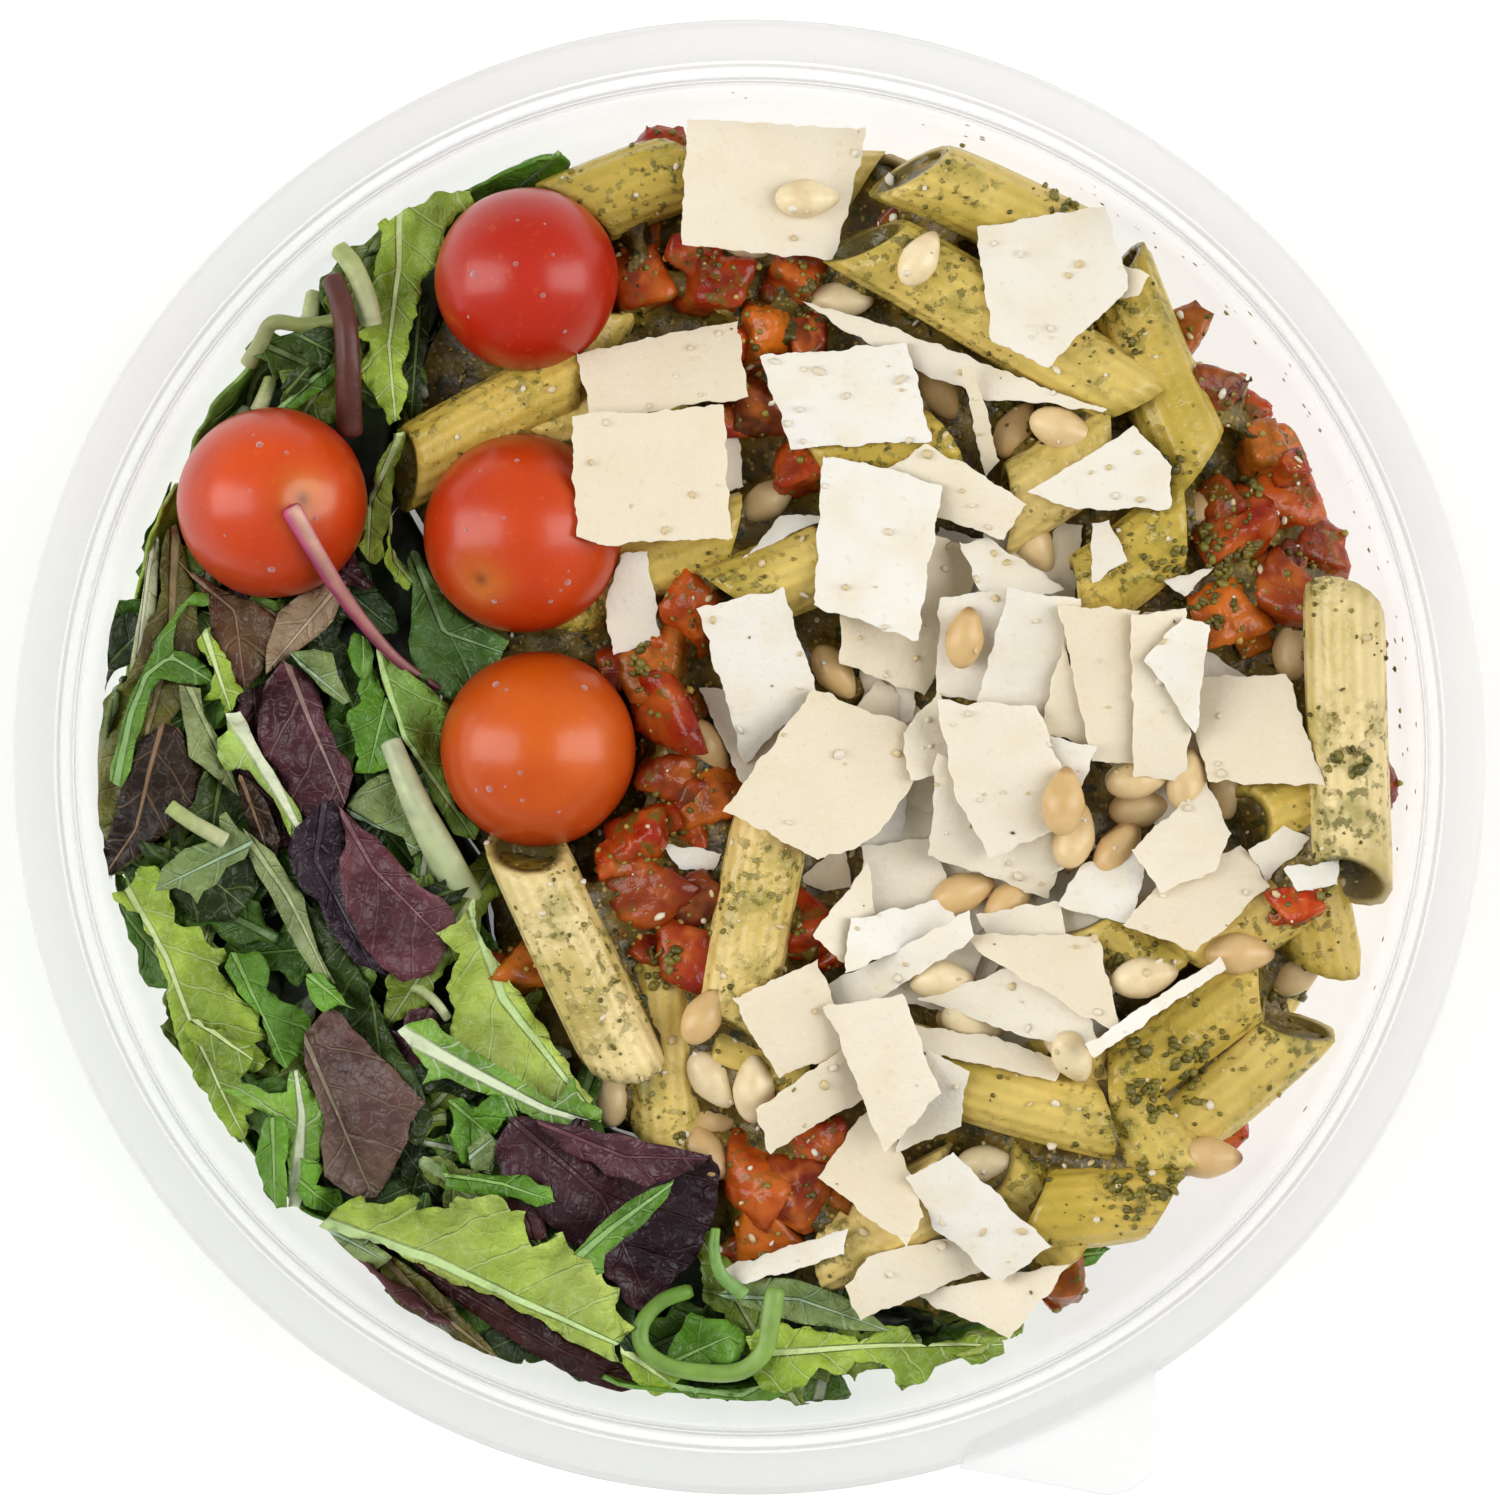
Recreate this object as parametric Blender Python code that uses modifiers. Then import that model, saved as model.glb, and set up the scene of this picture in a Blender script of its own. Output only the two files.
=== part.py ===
"""Pasta salad in a clear plastic bowl: penne in green pesto with diced tomato and pepper, salad leaves,
four cherry tomatoes, pine nuts and shaved hard cheese.

Rows of places are millimetres from the bowl's axis, seen from above, +Y up the page. Lower pieces come first.
"""

import math
import random

import bmesh
import bpy
from mathutils import Euler, Matrix, Vector
from mathutils.bvhtree import BVHTree

MM = 0.001

# The bowl
RIM_RADIUS = 95 * MM
MOUTH_RADIUS = 87 * MM
BASE_RADIUS = 50 * MM
BOWL_HEIGHT = 54 * MM
WALL_HEIGHT = 51 * MM
WALL = 0.8 * MM
WALL_RISES = (0.0, 0.03, 0.14, 0.36, 0.65, 1.0)
STEP_WIDTH = 2.6 * MM
LIP_DROP = 3.5 * MM
BOWL_SIDES = 40
BED_SIDES = 20
BED_CELLS = 7
TAB_CENTRE = (46 * MM, -87.5 * MM)
TAB_RADIUS = 7.5 * MM

# What lies in it
GAP = 0.35 * MM
PENNE_RADIUS = 5.3 * MM
PENNE_HOLE_DEPTH = 3 * MM
CHEESE_THICKNESS = 1.2 * MM
NUT_SIZE = (8.8 * MM, 5.4 * MM, 5.0 * MM)
LEAF_THICKNESS = 0.7 * MM
LEAF_LAYER = 2.8 * MM
SIDE_DEPTH = 4.5 * MM

# x, y of the axis' ends, and how far each end is lifted above the bed of pasta
PENNE = (
    ((-19, 60), (-29, 43), -3, -2), ((-45, 37.5), (-24, 48.5), 0, 2), ((-24, 19), (-13, 31), -2, -2),
    ((-20, 23), (-3, 28.5), -1, -1), ((-2, 21), (13, 27), 1, 0), ((6, 39), (24, 41), -2, -1),
    ((33, 32), (46, 40.5), -1, 1),
    ((-28, 42.5), (-11, 48), 0, 0), ((42, 20), (56, 31), -1, 1), ((-23, 71), (-7, 77), 0, 0),
    ((21, 77), (41, 67), 2, 0), ((15, 67), (49, 46.5), 3, 2), ((48, 63), (58, 38), 0, 1),
    ((77, 20), (78.5, -16), 6, 5), ((70, -4), (78, -27), -1, -2), ((64, -9), (75, -5), 0, 0),
    ((58, -25), (72, -17), 0, 0), ((47, -42), (66.5, -28), 2, 1), ((56, -48), (71, -35), -1, 0),
    ((22, -40), (45, -46.5), 1, 3), ((42, -37), (55, -54), -1, 3), ((36, -59), (54, -57), 2, 4),
    ((11, -64), (26, -56), -1, -1), ((31, -53), (41, -62), -2, 0), ((43, -20.5), (52, -27.5), 0, 2),
    ((-12, -24), (-10.5, -50), -4, -3), ((-7, -36), (5, -41), -3, -2), ((2.5, -10), (-2.5, -37), 2, 1),
    ((-29, -12), (-16.5, -39), 4, 2),
)

# The first ends of the penne whose hollow ends show
OPEN_PENNE = {(-45, 37.5), (15, 67), (42, -37), (36, -59), (77, 20), (43, -20.5)}

# x, y, edge length of each piece of tomato or pepper
DICE = (
    (-4.5, 61.5, 8.5), (-14, 62.5, 8), (5.5, 63.5, 7), (2.5, 55, 7.5), (7.5, 55, 6), (2, 46, 7.5),
    (6.5, 38, 6.5), (-11.5, 12.5, 8), (-12, 7, 8), (-7.5, 17.5, 7), (-10.5, -2.5, 8), (-5, -5.5, 7.5),
    (-15.5, -16.5, 9), (-7.5, -18.5, 8), (6.5, -22.5, 7.5), (-28.5, -27, 7), (-9, -26, 7.5),
    (0.5, -54.5, 10), (8.5, -51, 8), (1.5, -62, 8), (6.5, -57, 8), (61, 47, 7), (64.5, 44.5, 6.5),
    (67, 40, 7), (63.5, 29, 9), (70.5, 33, 9), (74, 27, 7), (62, 19, 9), (69, 21, 8), (19.5, 70, 5),
    (71, -19, 5), (40.5, -68, 6), (-14, -11, 7), (-7.5, -10.5, 7),
)

# x, y, degrees that a nut's long axis is turned
NUTS_ON_SALAD = (
    (-0.5, 66.5, 0), (22, 64.5, 60), (12, 59.5, 0), (24.5, 47.5, -60), (34.5, 42.5, 60), (40.5, 42.5, -20),
    (2.5, 33.5, 35), (37, 27.5, -60), (11, 11, -55), (-5.5, 1, -60), (50.5, -3, 0), (51, -6.5, 10),
    (56.5, -3, 40), (62, -4, 90), (42, -10.5, 80), (48, -12, 60), (51, -28.5, 10), (63.5, -25.5, 0),
    (71.5, -28, 40), (31, -53, 0), (-6, -33.5, 60), (-5, -42, -55), (0.5, -43, 90), (-5.5, -47.5, 0),
    (-6, -51.5, -50), (-18, -44, 90), (70.5, 14, 90), (59, 32.5, 55), (59.5, -52, 0),
    (25, -26, 0), (28.5, -34.5, -10), (41, -37, -50),
)
NUTS_ON_CHEESE = ((7.5, 72.5, 0), (27.8, 15.5, 80))

# The corners of the shavings of cheese
CHEESE = (
    ((-3, -66.5), (12, -61.5), (11.5, -64.5), (0, -68)),
    ((13, -68.5), (15.5, -65), (31, -61.5), (31.5, -66), (15, -72.5)),
    ((22, -70), (41, -66), (33.5, -75)),
    ((21, -55), (26.5, -52), (38, -63), (32, -67.5), (24.5, -61)),
    ((14.5, -47.5), (17.5, -46), (22, -59), (20, -62.5), (9.5, -54.5)),
    ((-7, 82), (14, 81), (12, 71), (10, 65.5), (-7.5, 67)),
    ((43, 65.5), (51.5, 62.5), (50, 60), (44.5, 59)),
    ((30.5, 68), (45.5, 70.5), (48, 60.5), (38.5, 51.5), (32, 54.5)),
    ((8.5, 58.5), (20, 55), (44, 45.5), (30, 47), (17.5, 52.5)),
    ((27.5, 50), (29, 50), (32, 39), (30.5, 37)),
    ((2.5, 51.5), (19.5, 53), (22.5, 41.5), (6, 40.5)),
    ((-21.5, 52), (-2.5, 56), (-1.5, 47), (-19.5, 44)),
    ((-14, 42.5), (-2, 42.5), (-1.5, 35.5), (-9, 33)),
    ((-22, 43), (-4.5, 44.5), (-3.5, 29), (-18, 28), (-21.5, 29)),
    ((18.5, 37), (23, 40), (27, 38), (35, 33), (32, 29), (23, 32)),
    ((37, 34.5), (49.5, 42), (54, 37.5), (53.5, 32.5), (42.5, 32.5)),
    ((23, 28), (29.5, 25.5), (22.5, 9), (12.5, 13), (12.5, 20)),
    ((10, 38), (16.5, 37), (24, 34.5), (21, 16.5), (9, 20.5)),
    ((27.5, 27.5), (31, 28), (40, 22), (31, 20)),
    ((25, 20), (33.5, 21), (31.5, 7.5), (24.5, 8.5)),
    ((33.5, 21), (42, 19.5), (38, 5.5), (30, 7.5)),
    ((40.5, 14.5), (42.5, 7.5), (44.5, 1.5), (38, 3.5)),
    ((56.5, 9.5), (69, 10), (73.5, -3), (60, -2.5)),
    ((40.5, 18.5), (50, 18), (50, 0), (44.5, 0.5)),
    ((49.5, 17.5), (56, 18), (56.5, -2), (50, -1.5)),
    ((51.5, 12.5), (56, 17.5), (59, 16.5), (57.5, 4)),
    ((-6, 8.5), (4, 7.5), (5, 4), (-0.5, -3.5)),
    ((-6, 18.5), (4, 21), (8, 8.5), (-0.5, 0.5)),
    ((11.5, -4), (20.5, -3), (19.5, -11.5), (13, -11.5)),
    ((8.5, 7.5), (24, 1.5), (15.5, -10), (9, -12.5), (-2, -6.5)),
    ((20, 3), (24.5, 7.5), (26.5, -1.5), (21, -2.5)),
    ((37.5, 3), (44.5, 1), (42, -5.5), (38, -4)),
    ((25, -0.5), (41, -9.5), (38, -17.5), (24, -12.5)),
    ((25, 6.5), (36.5, 5.5), (42, -7.5), (31, -12), (27, -4)),
    ((15, -12), (23, -11), (26.5, -18.5), (15.5, -20.5)),
    ((30, -20.5), (39.5, -19), (40.5, -23.5), (31.5, -24)),
    ((8.5, -23), (15, -14.5), (16, -20.5), (12, -26)),
    ((-1.5, -31.5), (8.5, -27), (12, -37.5), (4, -41)),
    ((1.5, -45.5), (11.5, -38.5), (15, -44), (3, -50.5)),
    ((21, -35), (32, -36.5), (40, -39.5), (38.5, -41.5), (23, -38)),
    ((23, -31.5), (39.5, -26), (44.5, -37), (36, -36)),
    ((27.5, -23.5), (44.5, -23.5), (47, -35), (42, -32.5)),
    ((13.5, -21), (24.5, -19), (26.5, -21.5), (13, -27.5)),
    ((10.5, -29.5), (19.5, -25), (27.5, -20.5), (28, -23.5), (19.5, -29.5), (11.5, -33.5)),
    ((23, -38.5), (28, -41), (27, -47.5), (19.5, -50.5)),
    ((10.5, -33), (19.5, -31.5), (24, -43), (17.5, -50)),
    ((40.5, -19), (43, -14.5), (51, -12.5), (49, -21.5)),
    ((49, -21.5), (53, -17), (63, -12), (66.5, -17), (57.5, -24.5)),
    ((50, -12), (59, -4), (62, -10), (60, -14.5), (53.5, -17)),
    ((44, -36.5), (60, -26.5), (60.5, -28), (45, -38)),
)

# Small scraps of cheese that stick to the salad
SCRAPS = (
    ((6.5, -16), (12, -11.5), (13, -17), (8.5, -17)),
    ((-16.5, 25.5), (-13.5, 26), (-12, 15.5), (-17.5, 14), (-18.5, 20)),
    ((-0.5, 26), (4, 31), (9.5, 31), (2.5, 27.5)),
    ((44.5, 30), (46.5, 30.5), (48.5, 25.5), (44.5, 23)),
    ((53.5, 23), (60, 24.5), (56.5, 21)),
    ((65, -12), (69, -9), (72.5, -10.5), (67, -16)),
    ((69.5, -14.5), (76, -13.5), (76, -16.5), (71, -17)),
    ((58.5, 14), (64.5, 10.5), (63, 8.5), (58, 8.5)),
    ((-11, -11.5), (-4, -12.5), (-5, -14.5), (-9, -14.5)),
)

# x, y and z of the centre, and the radius
TOMATOES = (
    (-29, 62, 41, 11.9), (-62, 33, 40.5, 12.4), (-29.5, 29, 41.5, 12.9), (-27.5, 1, 41.5, 12.7),
)

# base, tip, width, layer, sideways bend, and degrees that the blade is rolled about its midrib
LEAVES = (
    ((-75, 29), (-81, -16.5), 15, 1, -5, 20), ((-41, -68.5), (-13, -82), 6, 0.5, -3, 0),
    ((-49.5, -64), (-33.5, -77), 9, 1, -3, 10), ((-80, -14), (-64.5, -10.5), 6.5, 2, 0, 0),
    ((-82, -3), (-70, 20), 7, 2, 4, 10), ((-79, 29), (-82, 8.5), 3.5, 2, 0, 0),
    ((-49, 42), (-40, 74), 14, 2, 2, 15), ((-43, 8.5), (-43, 26), 12, 1.5, 1, 0), ((-45, -3), (-50, 15), 7.5, 1.5, 0, 0),
    ((-54, 21.5), (-73, 21.5), 11, 2, -2, 0), ((-54, -5.5), (-61, 10.5), 11.5, 2, 1, -15),
    ((-66.5, -5.5), (-54, -29.5), 6, 1.5, -1, 0), ((-68, 6), (-58, -11), 4.5, 2, 0, 0),
    ((-38.5, 8.5), (-57, 30.5), 5, 3.3, 3, 0), ((-55.5, -5.5), (-54, -25), 7.5, 1.8, -2, 0),
    ((-53.5, -6), (-39, -28), 12, 2.2, 2, 15), ((-34.5, -19.5), (-47, 2), 4, 3.2, -1, 0),
    ((-66.5, -48), (-79, -16), 18, 1.3, -3, 10), ((-58, -41), (-63, -25), 7, 2.2, 2, 0),
    ((-60, -59), (-58, -41.5), 7.5, 1.6, 0, 0), ((-51, -57.5), (-53, -32.5), 14, 2.4, 2, -10),
    ((-27, -44.5), (-37, -20), 13, 2.4, 2, 12), ((-25, -46), (-45.5, -36), 6, 3.3, 1, 0),
    ((-40.5, -52.5), (-25.5, -56.5), 4.5, 2, 0, 0), ((-9, -70), (-31, -48), 16, 1.6, -2, -8),
    ((-28.5, -48.5), (-8, -53), 6.5, 2.8, 1, 20), ((-54, -59), (-16, -77), 15.5, 2.4, 3, 10),
    ((-23, -64), (-12, -56), 6, 3.6, 0, 0), ((-4, -73), (16, -77), 6, 2, 1, 0),
    ((4, -79), (30, -78), 7, 1.4, 1, 0),
)

# The line between leaves and pasta, from the back to the front
DIVIDE = (
    (-24.5, 95), (-36, 74.5), (-40, 59), (-46, 47), (-47.5, 37), (-41, 25.5), (-41, 15), (-41, -5.5),
    (-35.5, -13.5), (-34, -25), (-24.5, -43), (-19, -49), (-9, -52.5), (-6, -66), (7, -70), (34, -76),
    (46, -70), (60, -85),
)


def clear_scene():
    """Removes what the scene holds."""
    for thing in list(bpy.data.objects):
        bpy.data.objects.remove(thing, do_unlink=True)


def collection(name):
    """A new collection in the scene."""
    made = bpy.data.collections.new(name)
    bpy.context.scene.collection.children.link(made)
    return made


def material(name, colour, roughness, alpha=1.0):
    """A Principled material."""
    made = bpy.data.materials.new(name)
    made.use_nodes = True
    shader = made.node_tree.nodes["Principled BSDF"]
    shader.inputs["Base Color"].default_value = (*colour, 1)
    shader.inputs["Roughness"].default_value = roughness
    shader.inputs["Metallic"].default_value = 0.0
    shader.inputs["Alpha"].default_value = alpha
    made.diffuse_color = (*colour, alpha)
    return made


def object_from(bm, name, home, finish=None):
    """A mesh object from a closed bmesh, in triangles that face out. It frees the bmesh."""
    bmesh.ops.triangulate(bm, faces=bm.faces)
    bmesh.ops.recalc_face_normals(bm, faces=bm.faces)
    if bm.calc_volume(signed=True) < 0:
        bmesh.ops.reverse_faces(bm, faces=bm.faces)
    mesh = bpy.data.meshes.new(name)
    bm.to_mesh(mesh)
    bm.free()
    if finish:
        mesh.materials.append(finish)
    made = bpy.data.objects.new(name, mesh)
    home.objects.link(made)
    return made


def applied(thing):
    """The object with its modifiers made part of its mesh, in triangles."""
    graph = bpy.context.evaluated_depsgraph_get()
    mesh = bpy.data.meshes.new_from_object(thing.evaluated_get(graph))
    thing.modifiers.clear()
    bm = bmesh.new()
    bm.from_mesh(mesh)
    bmesh.ops.triangulate(bm, faces=bm.faces)
    bm.to_mesh(mesh)
    bm.free()
    thing.data = mesh
    return thing


def boolean(thing, operation, other, solver="EXACT"):
    """Joins, cuts or keeps what another object, or all those of a collection, shares with this one."""
    change = thing.modifiers.new(operation.title(), "BOOLEAN")
    change.operation = operation
    change.solver = solver
    if isinstance(other, bpy.types.Collection):
        change.operand_type = "COLLECTION"
        change.collection = other
    else:
        change.object = other
    return applied(thing)


def empty_out(home):
    """Removes a collection with its objects."""
    for thing in list(home.objects):
        bpy.data.objects.remove(thing, do_unlink=True)
    bpy.data.collections.remove(home)


def keep_largest_shell(thing, flat=0.5):
    """Drops loose scraps and the walls of sealed hollows, and merges faces that are flat to within some degrees."""
    bm = bmesh.new()
    bm.from_mesh(thing.data)
    bm.verts.ensure_lookup_table()
    left = set(bm.verts)
    shells = []
    while left:
        seed = left.pop()
        shell, front = {seed}, [seed]
        while front:
            for edge in front.pop().link_edges:
                for vert in edge.verts:
                    if vert in left:
                        left.remove(vert)
                        shell.add(vert)
                        front.append(vert)
        shells.append(shell)
    main = max(shells, key=len)
    bmesh.ops.delete(bm, geom=[v for v in bm.verts if v not in main], context="VERTS")
    bm.to_mesh(thing.data)
    merged = bm.copy()
    bmesh.ops.dissolve_limit(merged, angle_limit=math.radians(flat), verts=merged.verts, edges=merged.edges)
    bmesh.ops.triangulate(merged, faces=merged.faces)
    if all(len(edge.link_faces) == 2 for edge in merged.edges):
        merged.to_mesh(thing.data)
    elif flat > 0.5:
        keep_largest_shell(thing, flat / 2)
    merged.free()
    bm.free()


def ellipse_radius(rise):
    """The radius of the wall's curve, a quarter of an ellipse, at a share of its height."""
    return BASE_RADIUS + (MOUTH_RADIUS - BASE_RADIUS) * math.sqrt(1 - (1 - rise) ** 2)


def wall_radius(z):
    """The inside of the bowl's wall at a height, along the straight stretches that make up its curve."""
    rise = min(max((z - WALL) / (WALL_HEIGHT - WALL), 0.0), 1.0)
    for low, high in zip(WALL_RISES, WALL_RISES[1:]):
        if rise <= high:
            share = (rise - low) / (high - low)
            return ellipse_radius(low) * (1 - share) + ellipse_radius(high) * share
    return MOUTH_RADIUS


def room(z, reach):
    """How far from the axis a ball of this radius can lie at a height, clear of the wall."""
    steps = [reach * k / 4 for k in range(-4, 5)]
    return min(wall_radius(z + s) - math.sqrt(reach * reach - s * s) for s in steps) - 2 * GAP


def tucked(point, reach):
    """The point, moved in and up as far as the bowl makes a ball of this radius move."""
    x, y, z = point
    z = max(z, WALL + GAP + reach)
    far = math.hypot(x, y)
    scale = min(1.0, room(z, reach) / far) if far else 1.0
    return Vector((x * scale, y * scale, z))


def pressed(bm):
    """Pulls in the corners of a soft piece that would stand past the wall or the floor."""
    for vert in bm.verts:
        vert.co.z = max(vert.co.z, WALL + GAP)
        far = vert.co.xy.length
        limit = wall_radius(vert.co.z) - 2 * GAP
        if far > limit:
            vert.co.xy *= limit / far


def pasta_height(x, y):
    """The bed of pasta: a low mound, highest right of the middle."""
    away = math.hypot(x - 18 * MM, y + 2 * MM) / (75 * MM)
    return (37.5 - 5.5 * away * away) * MM


def leaf_height(x, y):
    """The bed of leaves: falls a little toward the wall."""
    away = math.hypot(x, y) / MOUTH_RADIUS
    return (33 - 4 * away * away) * MM


def turned(name, profile, home, sides, finish=None):
    """A solid turned about the bowl's axis from a profile that starts and ends on it."""
    mesh = bpy.data.meshes.new(name)
    points = [(x, 0, z) for x, z in profile]
    mesh.from_pydata(points, [(k, k + 1) for k in range(len(points) - 1)], [])
    if finish:
        mesh.materials.append(finish)
    made = bpy.data.objects.new(name, mesh)
    home.objects.link(made)
    screw = made.modifiers.new("Turn", "SCREW")
    screw.steps = sides
    screw.render_steps = sides
    screw.use_merge_vertices = True
    screw.merge_threshold = 0.00001
    return applied(made)


def bowl(home, finish):
    """The thin bowl: a flat base, a curved wall, a stepped shoulder, a flange with a lip, and a pull tab."""
    top = BOWL_HEIGHT
    heights = [WALL + r * (WALL_HEIGHT - WALL) for r in WALL_RISES]
    inner = [(wall_radius(z), z) for z in heights]
    outer = [(wall_radius(z) + WALL, z) for z in heights[2:]]
    step = MOUTH_RADIUS + STEP_WIDTH
    rim = [
        (step - 1.2 * MM, WALL_HEIGHT + 0.6 * MM), (step - 0.6 * MM, top), (RIM_RADIUS - 0.5 * MM, top),
        (RIM_RADIUS, top - 0.6 * MM), (RIM_RADIUS, top - LIP_DROP), (RIM_RADIUS - WALL, top - LIP_DROP),
        (RIM_RADIUS - WALL, top - WALL), (step + 0.2 * MM, top - WALL), (step - 0.6 * MM, WALL_HEIGHT - 0.3 * MM),
    ]
    foot = [(BASE_RADIUS + 5 * MM, 0.4 * MM), (BASE_RADIUS, 0.0), (0.0, 0.0)]
    made = turned("bowl", [(0.0, WALL)] + inner + rim + outer[::-1] + foot, home, BOWL_SIDES, finish)
    boolean(made, "UNION", tab(home))
    bpy.data.objects.remove(bpy.data.objects["tab"], do_unlink=True)
    keep_largest_shell(made)
    made.data.shade_smooth()
    made.data.set_sharp_from_angle(angle=math.radians(35))
    return made


def tab(home):
    """The rounded tab that stands out from the flange, as a flat plate that runs back into it."""
    cx, cy = TAB_CENTRE
    lobe = [math.radians(a) for a in range(30, -106, -15)]
    points = [(52.0 * MM, -77.5 * MM)]
    points += [(cx + TAB_RADIUS * math.cos(a), cy + TAB_RADIUS * math.sin(a)) for a in lobe]
    points += [(36 * MM, -93.2 * MM), (27 * MM, -91.6 * MM), (28 * MM, -88.2 * MM)]
    outline = bpy.data.curves.new("tab", "CURVE")
    outline.dimensions = "2D"
    outline.fill_mode = "BOTH"
    outline.extrude = 0.35 * MM
    spline = outline.splines.new("POLY")
    spline.points.add(len(points) - 1)
    for place, (x, y) in zip(spline.points, points):
        place.co = (x, y, 0, 1)
    spline.use_cyclic_u = True
    made = bpy.data.objects.new("tab outline", outline)
    home.objects.link(made)
    mesh = bpy.data.meshes.new_from_object(made.evaluated_get(bpy.context.evaluated_depsgraph_get()))
    bpy.data.objects.remove(made, do_unlink=True)
    bm = bmesh.new()
    bm.from_mesh(mesh)
    bmesh.ops.remove_doubles(bm, verts=bm.verts, dist=0.00001)
    bmesh.ops.translate(bm, verts=bm.verts, vec=(0, 0, BOWL_HEIGHT - 0.4 * MM))
    return object_from(bm, "tab", home)


def bed(name, home, height, side):
    """One kind of filling under its pieces: the bowl's inside, up to a mound, on one side of the divide."""
    heights = [42 * MM, 20 * MM, 8 * MM, WALL + GAP]
    profile = [(0.0, heights[0])] + [(wall_radius(z) - SIDE_DEPTH, z) for z in heights]
    filling = turned(name, profile + [(0.0, heights[-1])], home, BED_SIDES)
    bm = bmesh.new()
    bmesh.ops.create_grid(bm, x_segments=BED_CELLS, y_segments=BED_CELLS, size=90 * MM)
    top = bmesh.ops.extrude_face_region(bm, geom=bm.faces[:])
    for vert in [g for g in top["geom"] if isinstance(g, bmesh.types.BMVert)]:
        vert.co.z = height(vert.co.x, vert.co.y)
    mound = object_from(bm, "mound", home)
    boolean(filling, "INTERSECT", mound)
    bpy.data.objects.remove(mound, do_unlink=True)
    curtain = one_side(home, side)
    boolean(filling, "INTERSECT", curtain)
    bpy.data.objects.remove(curtain, do_unlink=True)
    return filling


def one_side(home, side, clear=GAP / 2):
    """A block over all that lies on one side of the divide: -1 for the leaves, 1 for the pasta."""
    line = [Vector((x * MM, y * MM, 0)) for x, y in DIVIDE]
    shifted = []
    for k, point in enumerate(line):
        run = line[min(k + 1, len(line) - 1)] - line[max(k - 1, 0)]
        shifted.append(point + run.cross(Vector((0, 0, -1))).normalized() * side * clear)
    far = 100 * MM
    if side < 0:
        corners = [Vector((far * 0.6, -far, 0)), Vector((-far, -far, 0)), Vector((-far, far, 0))]
    else:
        corners = [Vector((far, -far, 0)), Vector((far, far, 0))]
    bm = bmesh.new()
    ring = [bm.verts.new(p + Vector((0, 0, -2 * MM))) for p in shifted + corners]
    base = bm.faces.new(ring)
    raised = bmesh.ops.extrude_face_region(bm, geom=[base])
    for vert in [g for g in raised["geom"] if isinstance(g, bmesh.types.BMVert)]:
        vert.co.z = 80 * MM
    return object_from(bm, "side", home)


def penne(home, start, end, roll, sides=8, hollow=False, slant=0.7):
    """A tube of pasta with slanted ends, which are hollow where they show."""
    length = (end - start).length
    bm = bmesh.new()
    bmesh.ops.create_cone(
        bm, cap_ends=True, segments=sides, radius1=PENNE_RADIUS, radius2=PENNE_RADIUS, depth=length
    )
    for vert in bm.verts:
        vert.co.z += slant * vert.co.x
    if hollow:
        ends = [f for f in bm.faces if len(f.verts) == sides]
        bmesh.ops.inset_region(bm, faces=ends, thickness=1.3 * MM, depth=-PENNE_HOLE_DEPTH)
    turn = (end - start).to_track_quat("Z", "Y").to_matrix().to_4x4()
    bm.transform(Matrix.Translation((start + end) / 2) @ turn @ Matrix.Rotation(roll, 4, "Z"))
    pressed(bm)
    return object_from(bm, "penne", home)


def block(home, centre, size, turn, draw):
    """A rough cube of tomato or pepper."""
    bm = bmesh.new()
    bmesh.ops.create_cube(bm, size=size)
    for vert in bm.verts:
        vert.co *= draw.uniform(0.8, 1.12)
    bm.transform(Matrix.Translation(centre) @ turn.to_matrix().to_4x4())
    pressed(bm)
    return object_from(bm, "dice", home)


def nut(home, centre, turn, tilt=0.0, up=(0, 0, 1)):
    """A pine nut: a small drop with one slimmer end, laid on a surface that faces some way up."""
    bm = bmesh.new()
    bmesh.ops.create_uvsphere(bm, u_segments=6, v_segments=4, radius=0.5)
    for vert in bm.verts:
        z, y, x = vert.co
        slim = 1 - 0.35 * max(x, 0) * 2
        vert.co = Vector((x * NUT_SIZE[0], y * NUT_SIZE[1] * slim, z * NUT_SIZE[2] * slim))
    lean = Vector((0, 0, 1)).rotation_difference(Vector(up)).to_matrix().to_4x4()
    bm.transform(Matrix.Translation(centre) @ lean @ Euler((0, tilt, turn)).to_matrix().to_4x4())
    return object_from(bm, "nut", home)


def tree_of(thing):
    """A search tree of the object's surface."""
    bm = bmesh.new()
    bm.from_mesh(thing.data)
    tree = BVHTree.FromBMesh(bm)
    bm.free()
    return tree


def height_under(trees, x, y):
    """The height of the highest surface at a place, or None over bare bowl."""
    down = Vector((0, 0, -1))
    hits = [tree.ray_cast(Vector((x, y, 90 * MM)), down)[0] for tree in trees]
    found = [h.z for h in hits if h is not None]
    return max(found) if found else None


def side_spots(first, last, heights, pitch):
    """Angles and heights, in staggered rows, round the wall from one angle in degrees to another."""
    for row, z in enumerate(heights):
        step = math.degrees(pitch / wall_radius(z))
        count = int((last - first) // step)
        for k in range(count):
            yield row, math.radians(first + (k + 0.5 + 0.4 * (row % 2)) * step), z


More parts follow.
